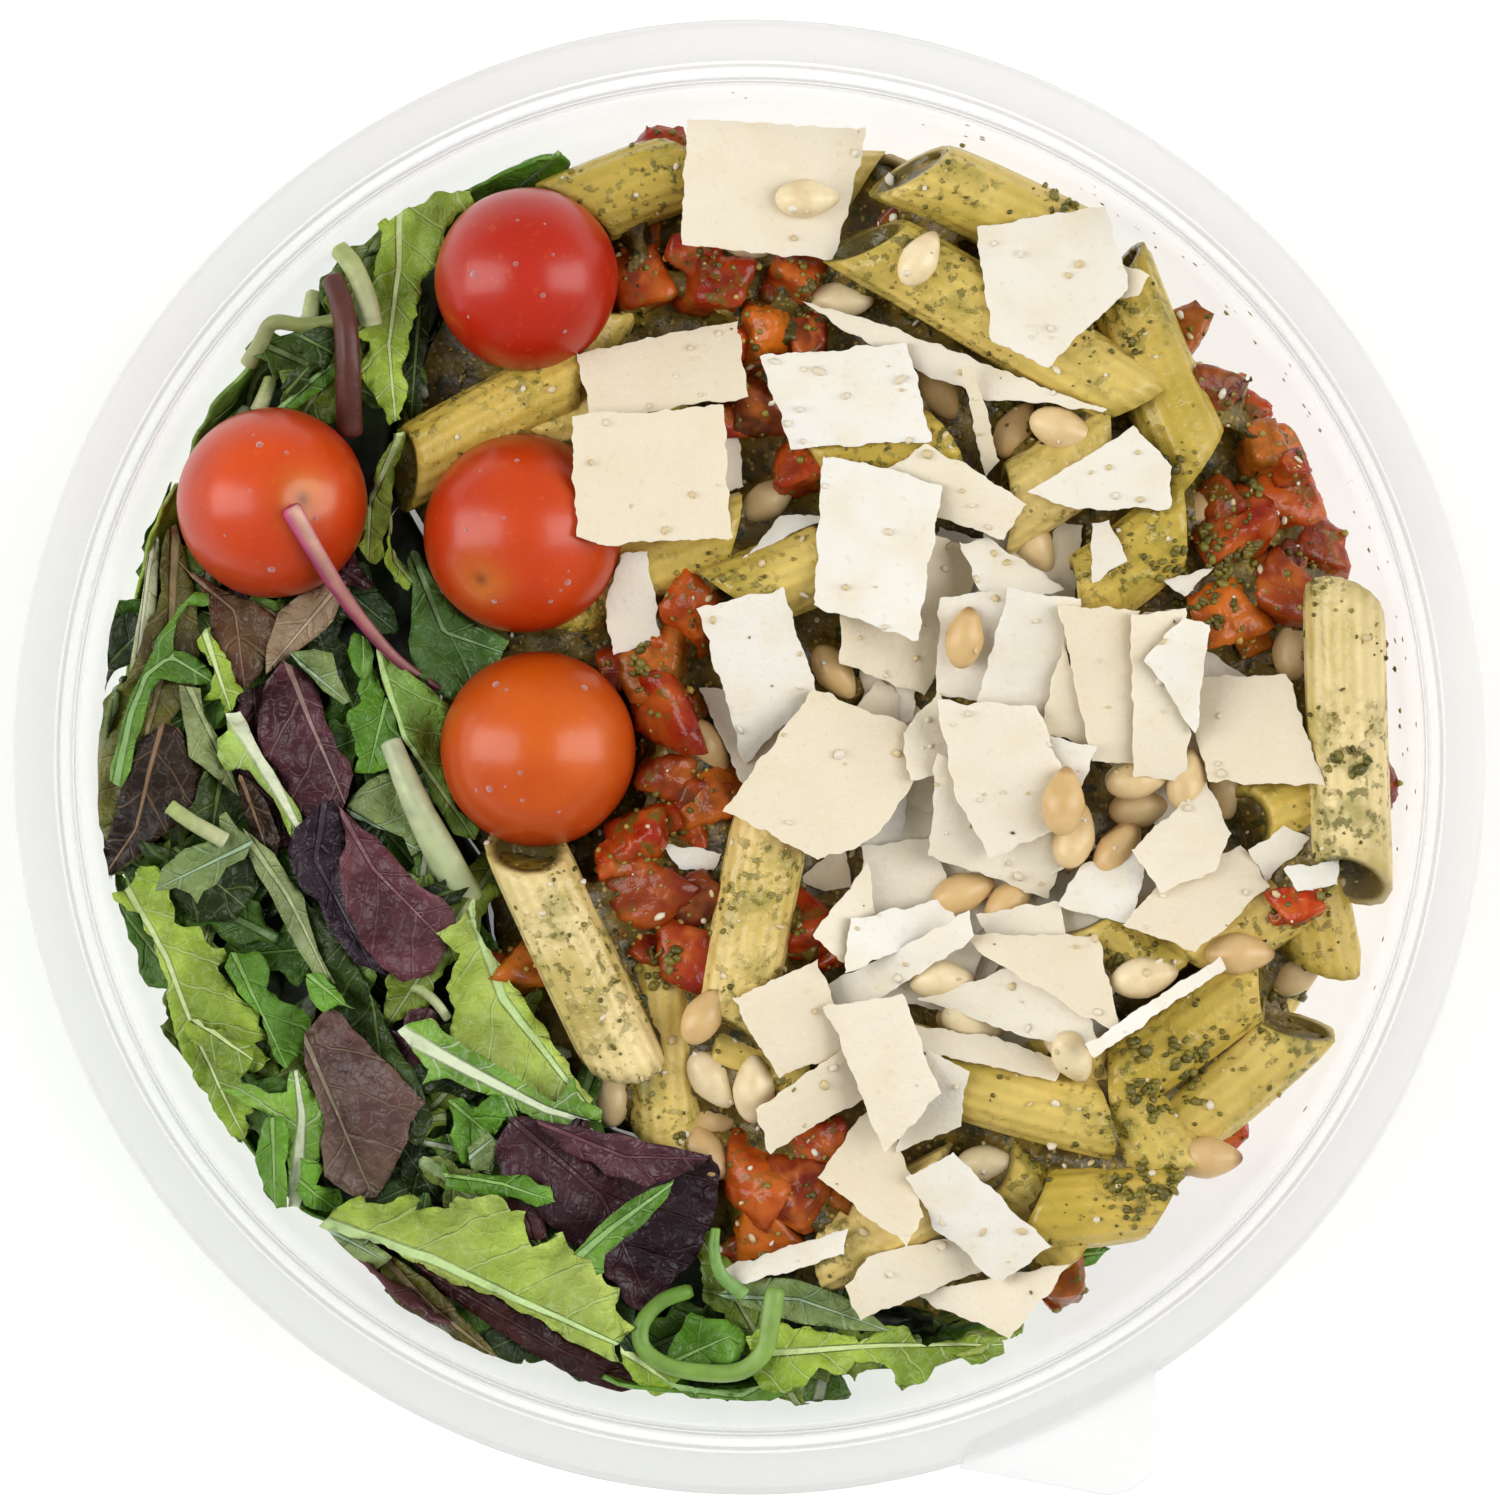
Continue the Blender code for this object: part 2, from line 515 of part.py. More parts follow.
def pasta_pieces(home, core, draw):
    """The penne, the dice, the nuts and the scraps of cheese that show on the bed of pasta."""
    trees = [tree_of(core)]
    made = []
    for (x1, y1), (x2, y2), up1, up2 in PENNE:
        ends = []
        for x, y, up in ((x1, y1, up1), (x2, y2, up2)):
            place = Vector((x * MM, y * MM, pasta_height(x * MM, y * MM) + (3 + up) * MM))
            ends.append(tucked(place, PENNE_RADIUS))
        made.append(penne(home, *ends, draw.uniform(0, math.tau), hollow=(x1, y1) in OPEN_PENNE))
    for row, angle, z in side_spots(-52, 100, (11 * MM, 25 * MM), 34 * MM):
        lean = (draw.uniform(-4, 4)) * MM
        half = 0.19 if row else 0.2
        ends = []
        for sign in (-1, 1):
            a = angle + sign * half
            point = Vector((math.cos(a), math.sin(a), 0)) * 120 * MM + Vector((0, 0, z + sign * lean))
            ends.append(tucked(point, PENNE_RADIUS))
        made.append(penne(home, *ends, draw.uniform(0, math.tau), sides=6))
    trees += [tree_of(thing) for thing in made]
    for x, y, size in DICE:
        z = height_under(trees, x * MM, y * MM) or pasta_height(x * MM, y * MM)
        centre = tucked((x * MM, y * MM, z + 0.12 * size * MM), 0.5 * size * MM)
        turn = Euler([draw.uniform(-0.4, 0.4), draw.uniform(-0.4, 0.4), draw.uniform(0, 1.5)])
        made.append(block(home, centre, size * MM, turn, draw))
        trees.append(tree_of(made[-1]))
    for row, angle, z in side_spots(-50, 102, (25 * MM,), 34 * MM):
        point = Vector((math.cos(angle), math.sin(angle), 0)) * 120 * MM + Vector((0, 0, z))
        turn = Euler([draw.uniform(0, 1), draw.uniform(0, 1), angle])
        made.append(block(home, tucked(point, 4 * MM), 6.5 * MM, turn, draw))
    for x, y, turn in NUTS_ON_SALAD:
        z = height_under(trees, x * MM, y * MM) or pasta_height(x * MM, y * MM)
        centre = tucked((x * MM, y * MM, z + 0.3 * NUT_SIZE[2]), 0.5 * NUT_SIZE[0])
        nut(home, centre, math.radians(turn), draw.uniform(-0.25, 0.25))
        trees.append(tree_of(home.objects[-1]))
    for corners in SCRAPS:
        shaving(home, "scrap", corners, trees, -0.5 * MM)


def grown_copies(pieces, home):
    """A copy of each piece that is larger all round, to cut the space that the piece needs."""
    for piece in pieces:
        bm = bmesh.new()
        bm.from_mesh(piece.data)
        bm.normal_update()
        for vert, normal in [(v, v.normal.copy()) for v in bm.verts]:
            vert.co += normal * 2 * GAP
        object_from(bm, "space", home)


def penne_heap(home, finish, draw, space):
    """The pasta with all that is fused to it, hollowed where the tomatoes lie."""
    heap = bed("pasta", home, pasta_height, 1)
    pieces = collection("pasta pieces")
    pasta_pieces(pieces, heap, draw)
    grown_copies(pieces.objects, space)
    boolean(heap, "UNION", pieces, "MANIFOLD")
    empty_out(pieces)
    return hollowed(heap, home, finish, 4)


def hollowed(heap, home, finish, flat):
    """The heap with a socket for each tomato, as one closed shell."""
    for x, y, z, radius in TOMATOES:
        bm = bmesh.new()
        bmesh.ops.create_uvsphere(bm, u_segments=12, v_segments=8, radius=(1.06 * radius + 0.4) * MM)
        bmesh.ops.translate(bm, verts=bm.verts, vec=(x * MM, y * MM, z * MM))
        ball = object_from(bm, "socket", home)
        boolean(heap, "DIFFERENCE", ball, "MANIFOLD")
        bpy.data.objects.remove(ball, do_unlink=True)
    keep_largest_shell(heap, flat)
    heap.data.materials.clear()
    heap.data.materials.append(finish)
    heap.data.polygons.foreach_set("material_index", [0] * len(heap.data.polygons))
    return heap


def blade(along, across):
    """A flat sheet of unit size with two faces, split into triangles alike: its upper face has z 1, its lower 0."""
    bm = bmesh.new()
    bmesh.ops.create_grid(bm, x_segments=along, y_segments=across, size=1)
    bmesh.ops.triangulate(bm, faces=bm.faces)
    upper = bmesh.ops.extrude_face_region(bm, geom=bm.faces[:])
    for vert in [g for g in upper["geom"] if isinstance(g, bmesh.types.BMVert)]:
        vert.co.z = 1
    return bm


def curled(flat, z):
    """A point of a leaf, which turns up along the wall where it would run into it."""
    soft = 4 * MM
    limit = wall_radius(z) - 3 * GAP - soft
    past = flat.length - limit
    if past <= 0:
        return Vector((flat.x, flat.y, z))
    kept = soft * (1 - math.exp(-past / soft))
    scale = (limit + kept) / flat.length
    return Vector((flat.x * scale, flat.y * scale, z + 0.7 * (past - kept)))


def leaf(home, base, tip, width, layer, bend, roll, draw):
    """A thin wavy leaf from its base to its tip, draped over the bed, with its stem end tucked in."""
    start, end = Vector(base) * MM, Vector(tip) * MM
    along = end - start
    across = Vector((-along.y, along.x)).normalized()
    lift, phase = layer * LEAF_LAYER, draw.uniform(0, math.tau)
    slope = math.sin(math.radians(roll))
    bm = blade(4 if along.length > 30 * MM else 3, 2)
    for vert in bm.verts:
        s, v = (vert.co.x + 1) / 2, vert.co.y
        half = 0.5 * width * MM * (0.22 + 0.78 * math.sin(math.pi * min(s * 0.86 + 0.1, 1.0)) ** 0.8)
        flat = start + along * s + across * (bend * MM * math.sin(math.pi * s) + v * half)
        wave = 1.6 * MM * math.sin(phase + 7 * s) * v + 0.9 * MM * math.sin(phase * 2 + 9 * s)
        dive = 5 * MM * max(0.0, 0.25 - s) * 4
        z = leaf_height(flat.x, flat.y) + lift + abs(v) * 2.2 * MM + slope * v * half + wave - dive
        place = curled(flat, z)
        vert.co = place + Vector((0, 0, vert.co.z * LEAF_THICKNESS))
    return object_from(bm, "leaf", home)


def wall_leaf(home, angle, z, length, width, lean, draw):
    """A leaf that stands pressed against the wall, seen through it."""
    phase = draw.uniform(0, math.tau)
    bm = blade(3, 2)
    for vert in bm.verts:
        u, v, layer = vert.co
        half = 0.5 * width * (1 - 0.35 * u * u)
        height = max(z + 0.5 * u * length * math.sin(lean) + v * half * math.cos(lean), 3 * MM + v * MM)
        turn = angle + (0.5 * u * length * math.cos(lean) - v * half * math.sin(lean)) / wall_radius(z)
        wave = 0.7 * MM * (1 + math.sin(phase + 3 * u + 1.5 * v))
        radius = wall_radius(height) - 3 * GAP - wave - (1 - layer) * 2 * LEAF_THICKNESS
        vert.co = Vector((radius * math.cos(turn), radius * math.sin(turn), height))
    return object_from(bm, "wall leaf", home)


def leaf_heap(home, finish, draw, space):
    """The leaves with their bed, cut off at the divide and where pasta or a tomato lies."""
    heap = bed("leaves", home, leaf_height, -1)
    pieces = collection("leaf pieces")
    for row in LEAVES:
        leaf(pieces, *row, draw)
    for row, angle, z in side_spots(112, 296, (11 * MM, 23 * MM), 40 * MM):
        lean = draw.uniform(-0.7, 0.7)
        wall_leaf(pieces, angle, z, draw.uniform(34, 42) * MM, draw.uniform(16, 22) * MM, lean, draw)
    boolean(heap, "UNION", pieces, "MANIFOLD")
    empty_out(pieces)
    curtain = one_side(home, -1)
    boolean(heap, "INTERSECT", curtain, "MANIFOLD")
    bpy.data.objects.remove(curtain, do_unlink=True)
    boolean(heap, "DIFFERENCE", space, "MANIFOLD")
    return hollowed(heap, home, finish, 2)


def tomato(home, number, row, finish, draw):
    """A cherry tomato: a slightly uneven ball with a dimple where its stem was."""
    x, y, z, radius = row
    bm = bmesh.new()
    bmesh.ops.create_uvsphere(bm, u_segments=16, v_segments=10, radius=radius * MM)
    scar = Euler((draw.uniform(0.9, 1.6), 0, draw.uniform(0, math.tau))).to_matrix() @ Vector((0, 0, 1))
    for vert in bm.verts:
        close = max(0.0, vert.co.normalized().dot(scar) - 0.9) * 10
        vert.co *= 1 - 0.04 * close
    bmesh.ops.translate(bm, verts=bm.verts, vec=(x * MM, y * MM, z * MM))
    made = object_from(bm, f"tomato_{number}", home, finish)
    made.data.shade_smooth()
    return made


def resting_plane(points, centre):
    """The face of the points' upper hull over a place: a flat piece laid on the points rests on it."""
    hull = bmesh.new()
    verts = [hull.verts.new(p) for p in points]
    bmesh.ops.convex_hull(hull, input=verts)
    best = None
    for face in hull.faces:
        face.normal_update()
        normal = face.normal if face.normal.z > 0 else -face.normal
        if normal.z > 0.05:
            z = face.verts[0].co.z - (normal.x * (centre.x - face.verts[0].co.x)
                                      + normal.y * (centre.y - face.verts[0].co.y)) / normal.z
            slope = (-normal.x / normal.z, -normal.y / normal.z)
            over = max(p.z - z - slope[0] * (p.x - centre.x) - slope[1] * (p.y - centre.y) for p in points)
            if over < 0.01 * MM and (best is None or z < best[0]):
                best = (z, slope)
    hull.free()
    return best


def meets(bm, trees):
    """Whether a shape cuts any of these surfaces, or would if it lay a little lower."""
    bmesh.ops.translate(bm, verts=bm.verts, vec=(0, 0, -0.8 * GAP))
    tree = BVHTree.FromBMesh(bm)
    bmesh.ops.translate(bm, verts=bm.verts, vec=(0, 0, 0.8 * GAP))
    return any(tree.overlap(other) for other in trees)


def shaving(home, name, corners, trees, gap, thickness=CHEESE_THICKNESS, finish=None):
    """A flat shaving of cheese with its outline as seen from above, laid on what is under it."""
    outline = [Vector((x * MM, y * MM)) for x, y in corners]
    centre = sum(outline, Vector((0, 0))) / len(outline)
    under = []
    for ring in (0.0, 0.2, 0.4, 0.6, 0.8, 1.0, 1.04):
        for k, corner in enumerate(outline):
            after = outline[(k + 1) % len(outline)]
            steps = max(2, math.ceil((after - corner).length / (1.2 * MM)))
            for j in range(steps):
                place = centre.lerp(corner.lerp(after, j / steps), ring)
                z = height_under(trees, place.x, place.y)
                if z is not None:
                    under.append(Vector((place.x, place.y, z)))
    top = max(p.z for p in under)
    reach = max((p - centre).length for p in outline)
    for k in range(12):
        turn = Vector((math.cos(k * math.tau / 12), math.sin(k * math.tau / 12))) * reach * 1.1
        under.append(Vector((centre.x + turn.x, centre.y + turn.y, top - min(0.75 * reach, 7 * MM))))
    z, slope = resting_plane(under, centre)
    bm = bmesh.new()
    ring = [bm.verts.new((p.x, p.y, 0)) for p in outline]
    base = bm.faces.new(ring)
    bmesh.ops.triangulate(bm, faces=[base])
    upper = bmesh.ops.extrude_face_region(bm, geom=bm.faces[:])
    raised = {g for g in upper["geom"] if isinstance(g, bmesh.types.BMVert)}
    steep = math.sqrt(1 + slope[0] ** 2 + slope[1] ** 2)
    for vert in bm.verts:
        rest = z + slope[0] * (vert.co.x - centre.x) + slope[1] * (vert.co.y - centre.y)
        vert.co.z = rest + (gap + (thickness if vert in raised else 0.0)) * steep
    while gap > 0 and meets(bm, trees):
        bmesh.ops.translate(bm, verts=bm.verts, vec=(0, 0, 0.2 * MM))
    made = object_from(bm, name, home, finish)
    trees.append(tree_of(made))
    return made


def cheese(home, heaps, finish):
    """The shavings of cheese, each laid on the ones below, and the nuts that stick to them."""
    trees = [tree_of(thing) for thing in heaps]
    made = []
    for number, corners in enumerate(CHEESE, 1):
        made.append(shaving(home, f"cheese_{number:02d}", corners, trees, GAP, finish=finish))
    for x, y, turn in NUTS_ON_CHEESE:
        spot = Vector((x * MM, y * MM, 90 * MM))
        hits = [(tree.ray_cast(spot, Vector((0, 0, -1))), k) for k, tree in enumerate(trees)]
        (place, up, _, _), k = max((hit for hit in hits if hit[0][0] is not None), key=lambda hit: hit[0][0].z)
        pieces = collection("nut pieces")
        laid = nut(pieces, place + up * 0.36 * NUT_SIZE[2], math.radians(turn), up=up)
        boolean(made[k - len(heaps)], "UNION", pieces)
        empty_out(pieces)


def main():
    clear_scene()
    draw = random.Random(7)
    salad = collection("pasta salad")
    plastic = material("clear plastic", (0.92, 0.94, 0.95), 0.1, 0.3)
    pasta = material("penne in pesto", (0.55, 0.45, 0.13), 0.45)
    green = material("salad leaves", (0.12, 0.3, 0.04), 0.5)
    red = material("tomato skin", (0.7, 0.06, 0.01), 0.2)
    cream = material("hard cheese", (0.88, 0.8, 0.6), 0.5)
    bowl(salad, plastic)
    space = collection("space for pasta")
    heap = penne_heap(salad, pasta, draw, space)
    leaves = leaf_heap(salad, green, draw, space)
    empty_out(space)
    tomatoes = [tomato(salad, k, row, red, draw) for k, row in enumerate(TOMATOES, 1)]
    cheese(salad, [heap, leaves] + tomatoes, cream)


main()
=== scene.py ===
"""Pasta salad in a clear plastic bowl, with its studio stage: penne and dice in green pesto, salad leaves,
four cherry tomatoes, pine nuts and shaved hard cheese.

Rows of places are millimetres from the bowl's axis, seen from above, +Y up the page. Lower pieces come first.
"""

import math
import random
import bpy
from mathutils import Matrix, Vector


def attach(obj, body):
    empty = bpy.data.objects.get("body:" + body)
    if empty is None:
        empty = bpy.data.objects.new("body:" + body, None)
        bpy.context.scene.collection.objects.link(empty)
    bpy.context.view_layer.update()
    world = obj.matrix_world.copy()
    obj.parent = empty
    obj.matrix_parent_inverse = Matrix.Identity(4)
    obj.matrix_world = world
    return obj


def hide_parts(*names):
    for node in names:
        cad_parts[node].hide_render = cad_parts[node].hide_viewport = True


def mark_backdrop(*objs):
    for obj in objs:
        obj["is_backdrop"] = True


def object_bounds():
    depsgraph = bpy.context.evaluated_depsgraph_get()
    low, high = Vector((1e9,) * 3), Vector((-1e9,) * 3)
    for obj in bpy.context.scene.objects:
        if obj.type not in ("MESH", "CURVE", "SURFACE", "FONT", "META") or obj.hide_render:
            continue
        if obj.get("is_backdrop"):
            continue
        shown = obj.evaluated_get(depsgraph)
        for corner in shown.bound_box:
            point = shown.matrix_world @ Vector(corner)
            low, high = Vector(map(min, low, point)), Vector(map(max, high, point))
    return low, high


bl_info = {
    "name": "Pasta salad in a clear bowl",
    "version": (1, 0, 0),
    "blender": (4, 5, 0),
    "location": "3D View > Sidebar > Salad",
    "description": "Builds a bowl of pasta salad piece by piece, and a pale stage seen from above",
    "category": "Add Mesh",
}

import bpy
from mathutils import Euler, Matrix, Vector
from mathutils.bvhtree import BVHTree
from mathutils.geometry import delaunay_2d_cdt
from mathutils.kdtree import KDTree
from mathutils.noise import noise

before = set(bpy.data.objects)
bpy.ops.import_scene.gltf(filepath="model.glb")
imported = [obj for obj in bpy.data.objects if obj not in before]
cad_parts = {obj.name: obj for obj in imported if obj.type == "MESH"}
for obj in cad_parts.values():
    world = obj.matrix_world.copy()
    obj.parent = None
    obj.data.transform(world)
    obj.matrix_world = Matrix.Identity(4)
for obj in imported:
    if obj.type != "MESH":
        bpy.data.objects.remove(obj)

MM = 0.001

# The bowl, as packed
RIM_RADIUS = 95 * MM
MOUTH_RADIUS = 87 * MM
BASE_RADIUS = 50 * MM
BOWL_HEIGHT = 54 * MM
WALL_HEIGHT = 51 * MM
WALL = 0.8 * MM
WALL_RISES = (0.0, 0.03, 0.14, 0.36, 0.65, 1.0)
STEP_WIDTH = 2.6 * MM
LIP_DROP = 3.5 * MM
TAB_CENTRE = (46 * MM, -87.5 * MM)
TAB_RADIUS = 7.5 * MM
TAB_START = (52 * MM, -77.5 * MM)
TAB_END = ((36 * MM, -93.2 * MM), (27 * MM, -91.6 * MM), (28 * MM, -88.2 * MM))
TAB_MIDDLE = (44 * MM, -85 * MM)

# The tab's rounded edge: millimetres in from its outline, and up from the rim's top
TAB_SECTION = ((0.35, -0.75), (0.0, -0.6), (0.0, -0.25), (0.35, -0.1))

# Height and width of the bead and of the groove near the mouth, and how deep the groove may get
BEAD = (45 * MM, 1.1 * MM)
GROOVE = (49.6 * MM, 0.7 * MM)
GROOVE_DEPTH = 0.4 * MM
FINE_ROWS_FROM = 43 * MM

# Radius of each thicker ring at the mouth, where a grey line of painted shade stands for its dark edge, and the
# line's width
SHADE_LINE_RADII = (85.1 * MM, 87.5 * MM, 89.1 * MM)
SHADE_LINE_WIDTH = 0.28 * MM

# What lies in it
GAP = 0.35 * MM
PENNE_RADIUS = 5.3 * MM
PENNE_LIFT = 3
CHEESE_THICKNESS = 1.2 * MM
SCRAP_THICKNESS = 1.0 * MM
FLAKE_THICKNESS = 0.9 * MM
NUT_SIZE = (8.8 * MM, 5.4 * MM, 5.0 * MM)
LEAF_LAYER = 2.8

# First and last angle in degrees round the wall, the rows' heights, and the distance along a row
LEAVES_AT_WALL = (108, 300, (9 * MM, 17 * MM, 25 * MM), 24 * MM)
PENNE_AT_WALL = (-52, 100, (11 * MM, 25 * MM), 34 * MM)
DICE_AT_WALL = (-50, 102, (17 * MM, 31 * MM, 38 * MM), 20 * MM)

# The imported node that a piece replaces, and its material slot
IN_BOWL = (("bowl",), "clear plastic")
IN_LEAVES = (("leaves",), "salad leaves")
IN_PASTA = (("pasta",), "penne in pesto")

# The stage
FLOOR_REACH = 3.0
FLOOR_DROP = 0.2 * MM
BOX_SIZE = (0.9, 1.7)
BOX_PLACE = (1.25, 0.1, 0.95)
BOX_AIM = (0, 0, 0.03)
CAMERA_SHIFT = 0.9 * MM
SENSOR_WIDTH = 36

# x, y of the axis' ends, and how far each end is lifted above the bed of pasta
PENNE = (
    ((-19, 60), (-29, 43), -3, -2), ((-45, 37.5), (-24, 48.5), 0, 2), ((-24, 19), (-13, 31), -2, -2),
    ((-20, 23), (-3, 28.5), -1, -1), ((-2, 21), (13, 27), 1, 0), ((6, 39), (24, 41), -2, -1),
    ((33, 32), (46, 40.5), -1, 1),
    ((-28, 42.5), (-11, 48), 0, 0), ((42, 20), (56, 31), -1, 1), ((-23, 71), (-7, 77), 0, 0),
    ((21, 77), (41, 67), 2, 0), ((15, 67), (49, 46.5), 3, 2), ((48, 63), (58, 38), 0, 1),
    ((77, 20), (78.5, -16), 6, 5), ((70, -4), (78, -27), -1, -2), ((64, -9), (75, -5), 0, 0),
    ((58, -25), (72, -17), 0, 0), ((47, -42), (66.5, -28), 2, 1), ((56, -48), (71, -35), -1, 0),
    ((22, -40), (45, -46.5), 1, 3), ((42, -37), (55, -54), -1, 3), ((36, -59), (54, -57), 2, 4),
    ((11, -64), (26, -56), -1, -1), ((31, -53), (41, -62), -2, 0), ((43, -20.5), (52, -27.5), 0, 2),
    ((-12, -24), (-10.5, -50), -4, -3), ((-7, -36), (5, -41), -3, -2), ((2.5, -10), (-2.5, -37), 2, 1),
    ((-29, -12), (-16.5, -39), 4, 2),
)

# x, y, edge length of each piece of tomato or pepper
DICE = (
    (-4.5, 61.5, 8.5), (-14, 62.5, 8), (5.5, 63.5, 7), (2.5, 55, 7.5), (7.5, 55, 6), (2, 46, 7.5),
    (6.5, 38, 6.5), (-11.5, 12.5, 8), (-12, 7, 8), (-7.5, 17.5, 7), (-10.5, -2.5, 8), (-5, -5.5, 7.5),
    (-15.5, -16.5, 9), (-7.5, -18.5, 8), (6.5, -22.5, 7.5), (-28.5, -27, 7), (-9, -26, 7.5),
    (0.5, -54.5, 10), (8.5, -51, 8), (1.5, -62, 8), (6.5, -57, 8), (61, 47, 7), (64.5, 44.5, 6.5),
    (67, 40, 7), (63.5, 29, 9), (70.5, 33, 9), (74, 27, 7), (62, 19, 9), (69, 21, 8), (19.5, 70, 5),
    (71, -19, 5), (40.5, -68, 6), (-14, -11, 7), (-7.5, -10.5, 7),
)

# x, y, degrees that a nut's long axis is turned
NUTS_ON_SALAD = (
    (-0.5, 66.5, 0), (22, 64.5, 60), (12, 59.5, 0), (24.5, 47.5, -60), (34.5, 42.5, 60), (40.5, 42.5, -20),
    (2.5, 33.5, 35), (37, 27.5, -60), (11, 11, -55), (-5.5, 1, -60), (50.5, -3, 0), (51, -6.5, 10),
    (56.5, -3, 40), (62, -4, 90), (42, -10.5, 80), (48, -12, 60), (51, -28.5, 10), (63.5, -25.5, 0),
    (71.5, -28, 40), (31, -53, 0), (-6, -33.5, 60), (-5, -42, -55), (0.5, -43, 90), (-5.5, -47.5, 0),
    (-6, -51.5, -50), (-18, -44, 90), (70.5, 14, 90), (59, 32.5, 55), (59.5, -52, 0),
    (25, -26, 0), (28.5, -34.5, -10), (41, -37, -50),
)
NUTS_ON_CHEESE = ((7.5, 72.5, 0), (27.8, 15.5, 80))

# The corners of the shavings of cheese
CHEESE = (
    ((-3, -66.5), (12, -61.5), (11.5, -64.5), (0, -68)),
    ((13, -68.5), (15.5, -65), (31, -61.5), (31.5, -66), (15, -72.5)),
    ((22, -70), (41, -66), (33.5, -75)),
    ((21, -55), (26.5, -52), (38, -63), (32, -67.5), (24.5, -61)),
    ((14.5, -47.5), (17.5, -46), (22, -59), (20, -62.5), (9.5, -54.5)),
    ((-7, 82), (14, 81), (12, 71), (10, 65.5), (-7.5, 67)),
    ((43, 65.5), (51.5, 62.5), (50, 60), (44.5, 59)),
    ((30.5, 68), (45.5, 70.5), (48, 60.5), (38.5, 51.5), (32, 54.5)),
    ((8.5, 58.5), (20, 55), (44, 45.5), (30, 47), (17.5, 52.5)),
    ((27.5, 50), (29, 50), (32, 39), (30.5, 37)),
    ((2.5, 51.5), (19.5, 53), (22.5, 41.5), (6, 40.5)),
    ((-21.5, 52), (-2.5, 56), (-1.5, 47), (-19.5, 44)),
    ((-14, 42.5), (-2, 42.5), (-1.5, 35.5), (-9, 33)),
    ((-22, 43), (-4.5, 44.5), (-3.5, 29), (-18, 28), (-21.5, 29)),
    ((18.5, 37), (23, 40), (27, 38), (35, 33), (32, 29), (23, 32)),
    ((37, 34.5), (49.5, 42), (54, 37.5), (53.5, 32.5), (42.5, 32.5)),
    ((23, 28), (29.5, 25.5), (22.5, 9), (12.5, 13), (12.5, 20)),
    ((10, 38), (16.5, 37), (24, 34.5), (21, 16.5), (9, 20.5)),
    ((27.5, 27.5), (31, 28), (40, 22), (31, 20)),
    ((25, 20), (33.5, 21), (31.5, 7.5), (24.5, 8.5)),
    ((33.5, 21), (42, 19.5), (38, 5.5), (30, 7.5)),
    ((40.5, 14.5), (42.5, 7.5), (44.5, 1.5), (38, 3.5)),
    ((56.5, 9.5), (69, 10), (73.5, -3), (60, -2.5)),
    ((40.5, 18.5), (50, 18), (50, 0), (44.5, 0.5)),
    ((49.5, 17.5), (56, 18), (56.5, -2), (50, -1.5)),
    ((51.5, 12.5), (56, 17.5), (59, 16.5), (57.5, 4)),
    ((-6, 8.5), (4, 7.5), (5, 4), (-0.5, -3.5)),
    ((-6, 18.5), (4, 21), (8, 8.5), (-0.5, 0.5)),
    ((11.5, -4), (20.5, -3), (19.5, -11.5), (13, -11.5)),
    ((8.5, 7.5), (24, 1.5), (15.5, -10), (9, -12.5), (-2, -6.5)),
    ((20, 3), (24.5, 7.5), (26.5, -1.5), (21, -2.5)),
    ((37.5, 3), (44.5, 1), (42, -5.5), (38, -4)),
    ((25, -0.5), (41, -9.5), (38, -17.5), (24, -12.5)),
    ((25, 6.5), (36.5, 5.5), (42, -7.5), (31, -12), (27, -4)),
    ((15, -12), (23, -11), (26.5, -18.5), (15.5, -20.5)),
    ((30, -20.5), (39.5, -19), (40.5, -23.5), (31.5, -24)),
    ((8.5, -23), (15, -14.5), (16, -20.5), (12, -26)),
    ((-1.5, -31.5), (8.5, -27), (12, -37.5), (4, -41)),
    ((1.5, -45.5), (11.5, -38.5), (15, -44), (3, -50.5)),
    ((21, -35), (32, -36.5), (40, -39.5), (38.5, -41.5), (23, -38)),
    ((23, -31.5), (39.5, -26), (44.5, -37), (36, -36)),
    ((27.5, -23.5), (44.5, -23.5), (47, -35), (42, -32.5)),
    ((13.5, -21), (24.5, -19), (26.5, -21.5), (13, -27.5)),
    ((10.5, -29.5), (19.5, -25), (27.5, -20.5), (28, -23.5), (19.5, -29.5), (11.5, -33.5)),
    ((23, -38.5), (28, -41), (27, -47.5), (19.5, -50.5)),
    ((10.5, -33), (19.5, -31.5), (24, -43), (17.5, -50)),
    ((40.5, -19), (43, -14.5), (51, -12.5), (49, -21.5)),
    ((49, -21.5), (53, -17), (63, -12), (66.5, -17), (57.5, -24.5)),
    ((50, -12), (59, -4), (62, -10), (60, -14.5), (53.5, -17)),
    ((44, -36.5), (60, -26.5), (60.5, -28), (45, -38)),
)

# Small scraps of cheese that stick to the salad
SCRAPS = (
    ((6.5, -16), (12, -11.5), (13, -17), (8.5, -17)),
    ((-16.5, 25.5), (-13.5, 26), (-12, 15.5), (-17.5, 14), (-18.5, 20)),
    ((-0.5, 26), (4, 31), (9.5, 31), (2.5, 27.5)),
    ((44.5, 30), (46.5, 30.5), (48.5, 25.5), (44.5, 23)),
    ((53.5, 23), (60, 24.5), (56.5, 21)),
    ((65, -12), (69, -9), (72.5, -10.5), (67, -16)),
    ((69.5, -14.5), (76, -13.5), (76, -16.5), (71, -17)),
    ((58.5, 14), (64.5, 10.5), (63, 8.5), (58, 8.5)),
    ((-11, -11.5), (-4, -12.5), (-5, -14.5), (-9, -14.5)),
)

# x, y and z of the centre, and the radius
TOMATOES = (
    (-29, 62, 41, 11.9), (-62, 33, 40.5, 12.4), (-29.5, 29, 41.5, 12.9), (-27.5, 1, 41.5, 12.7),
)

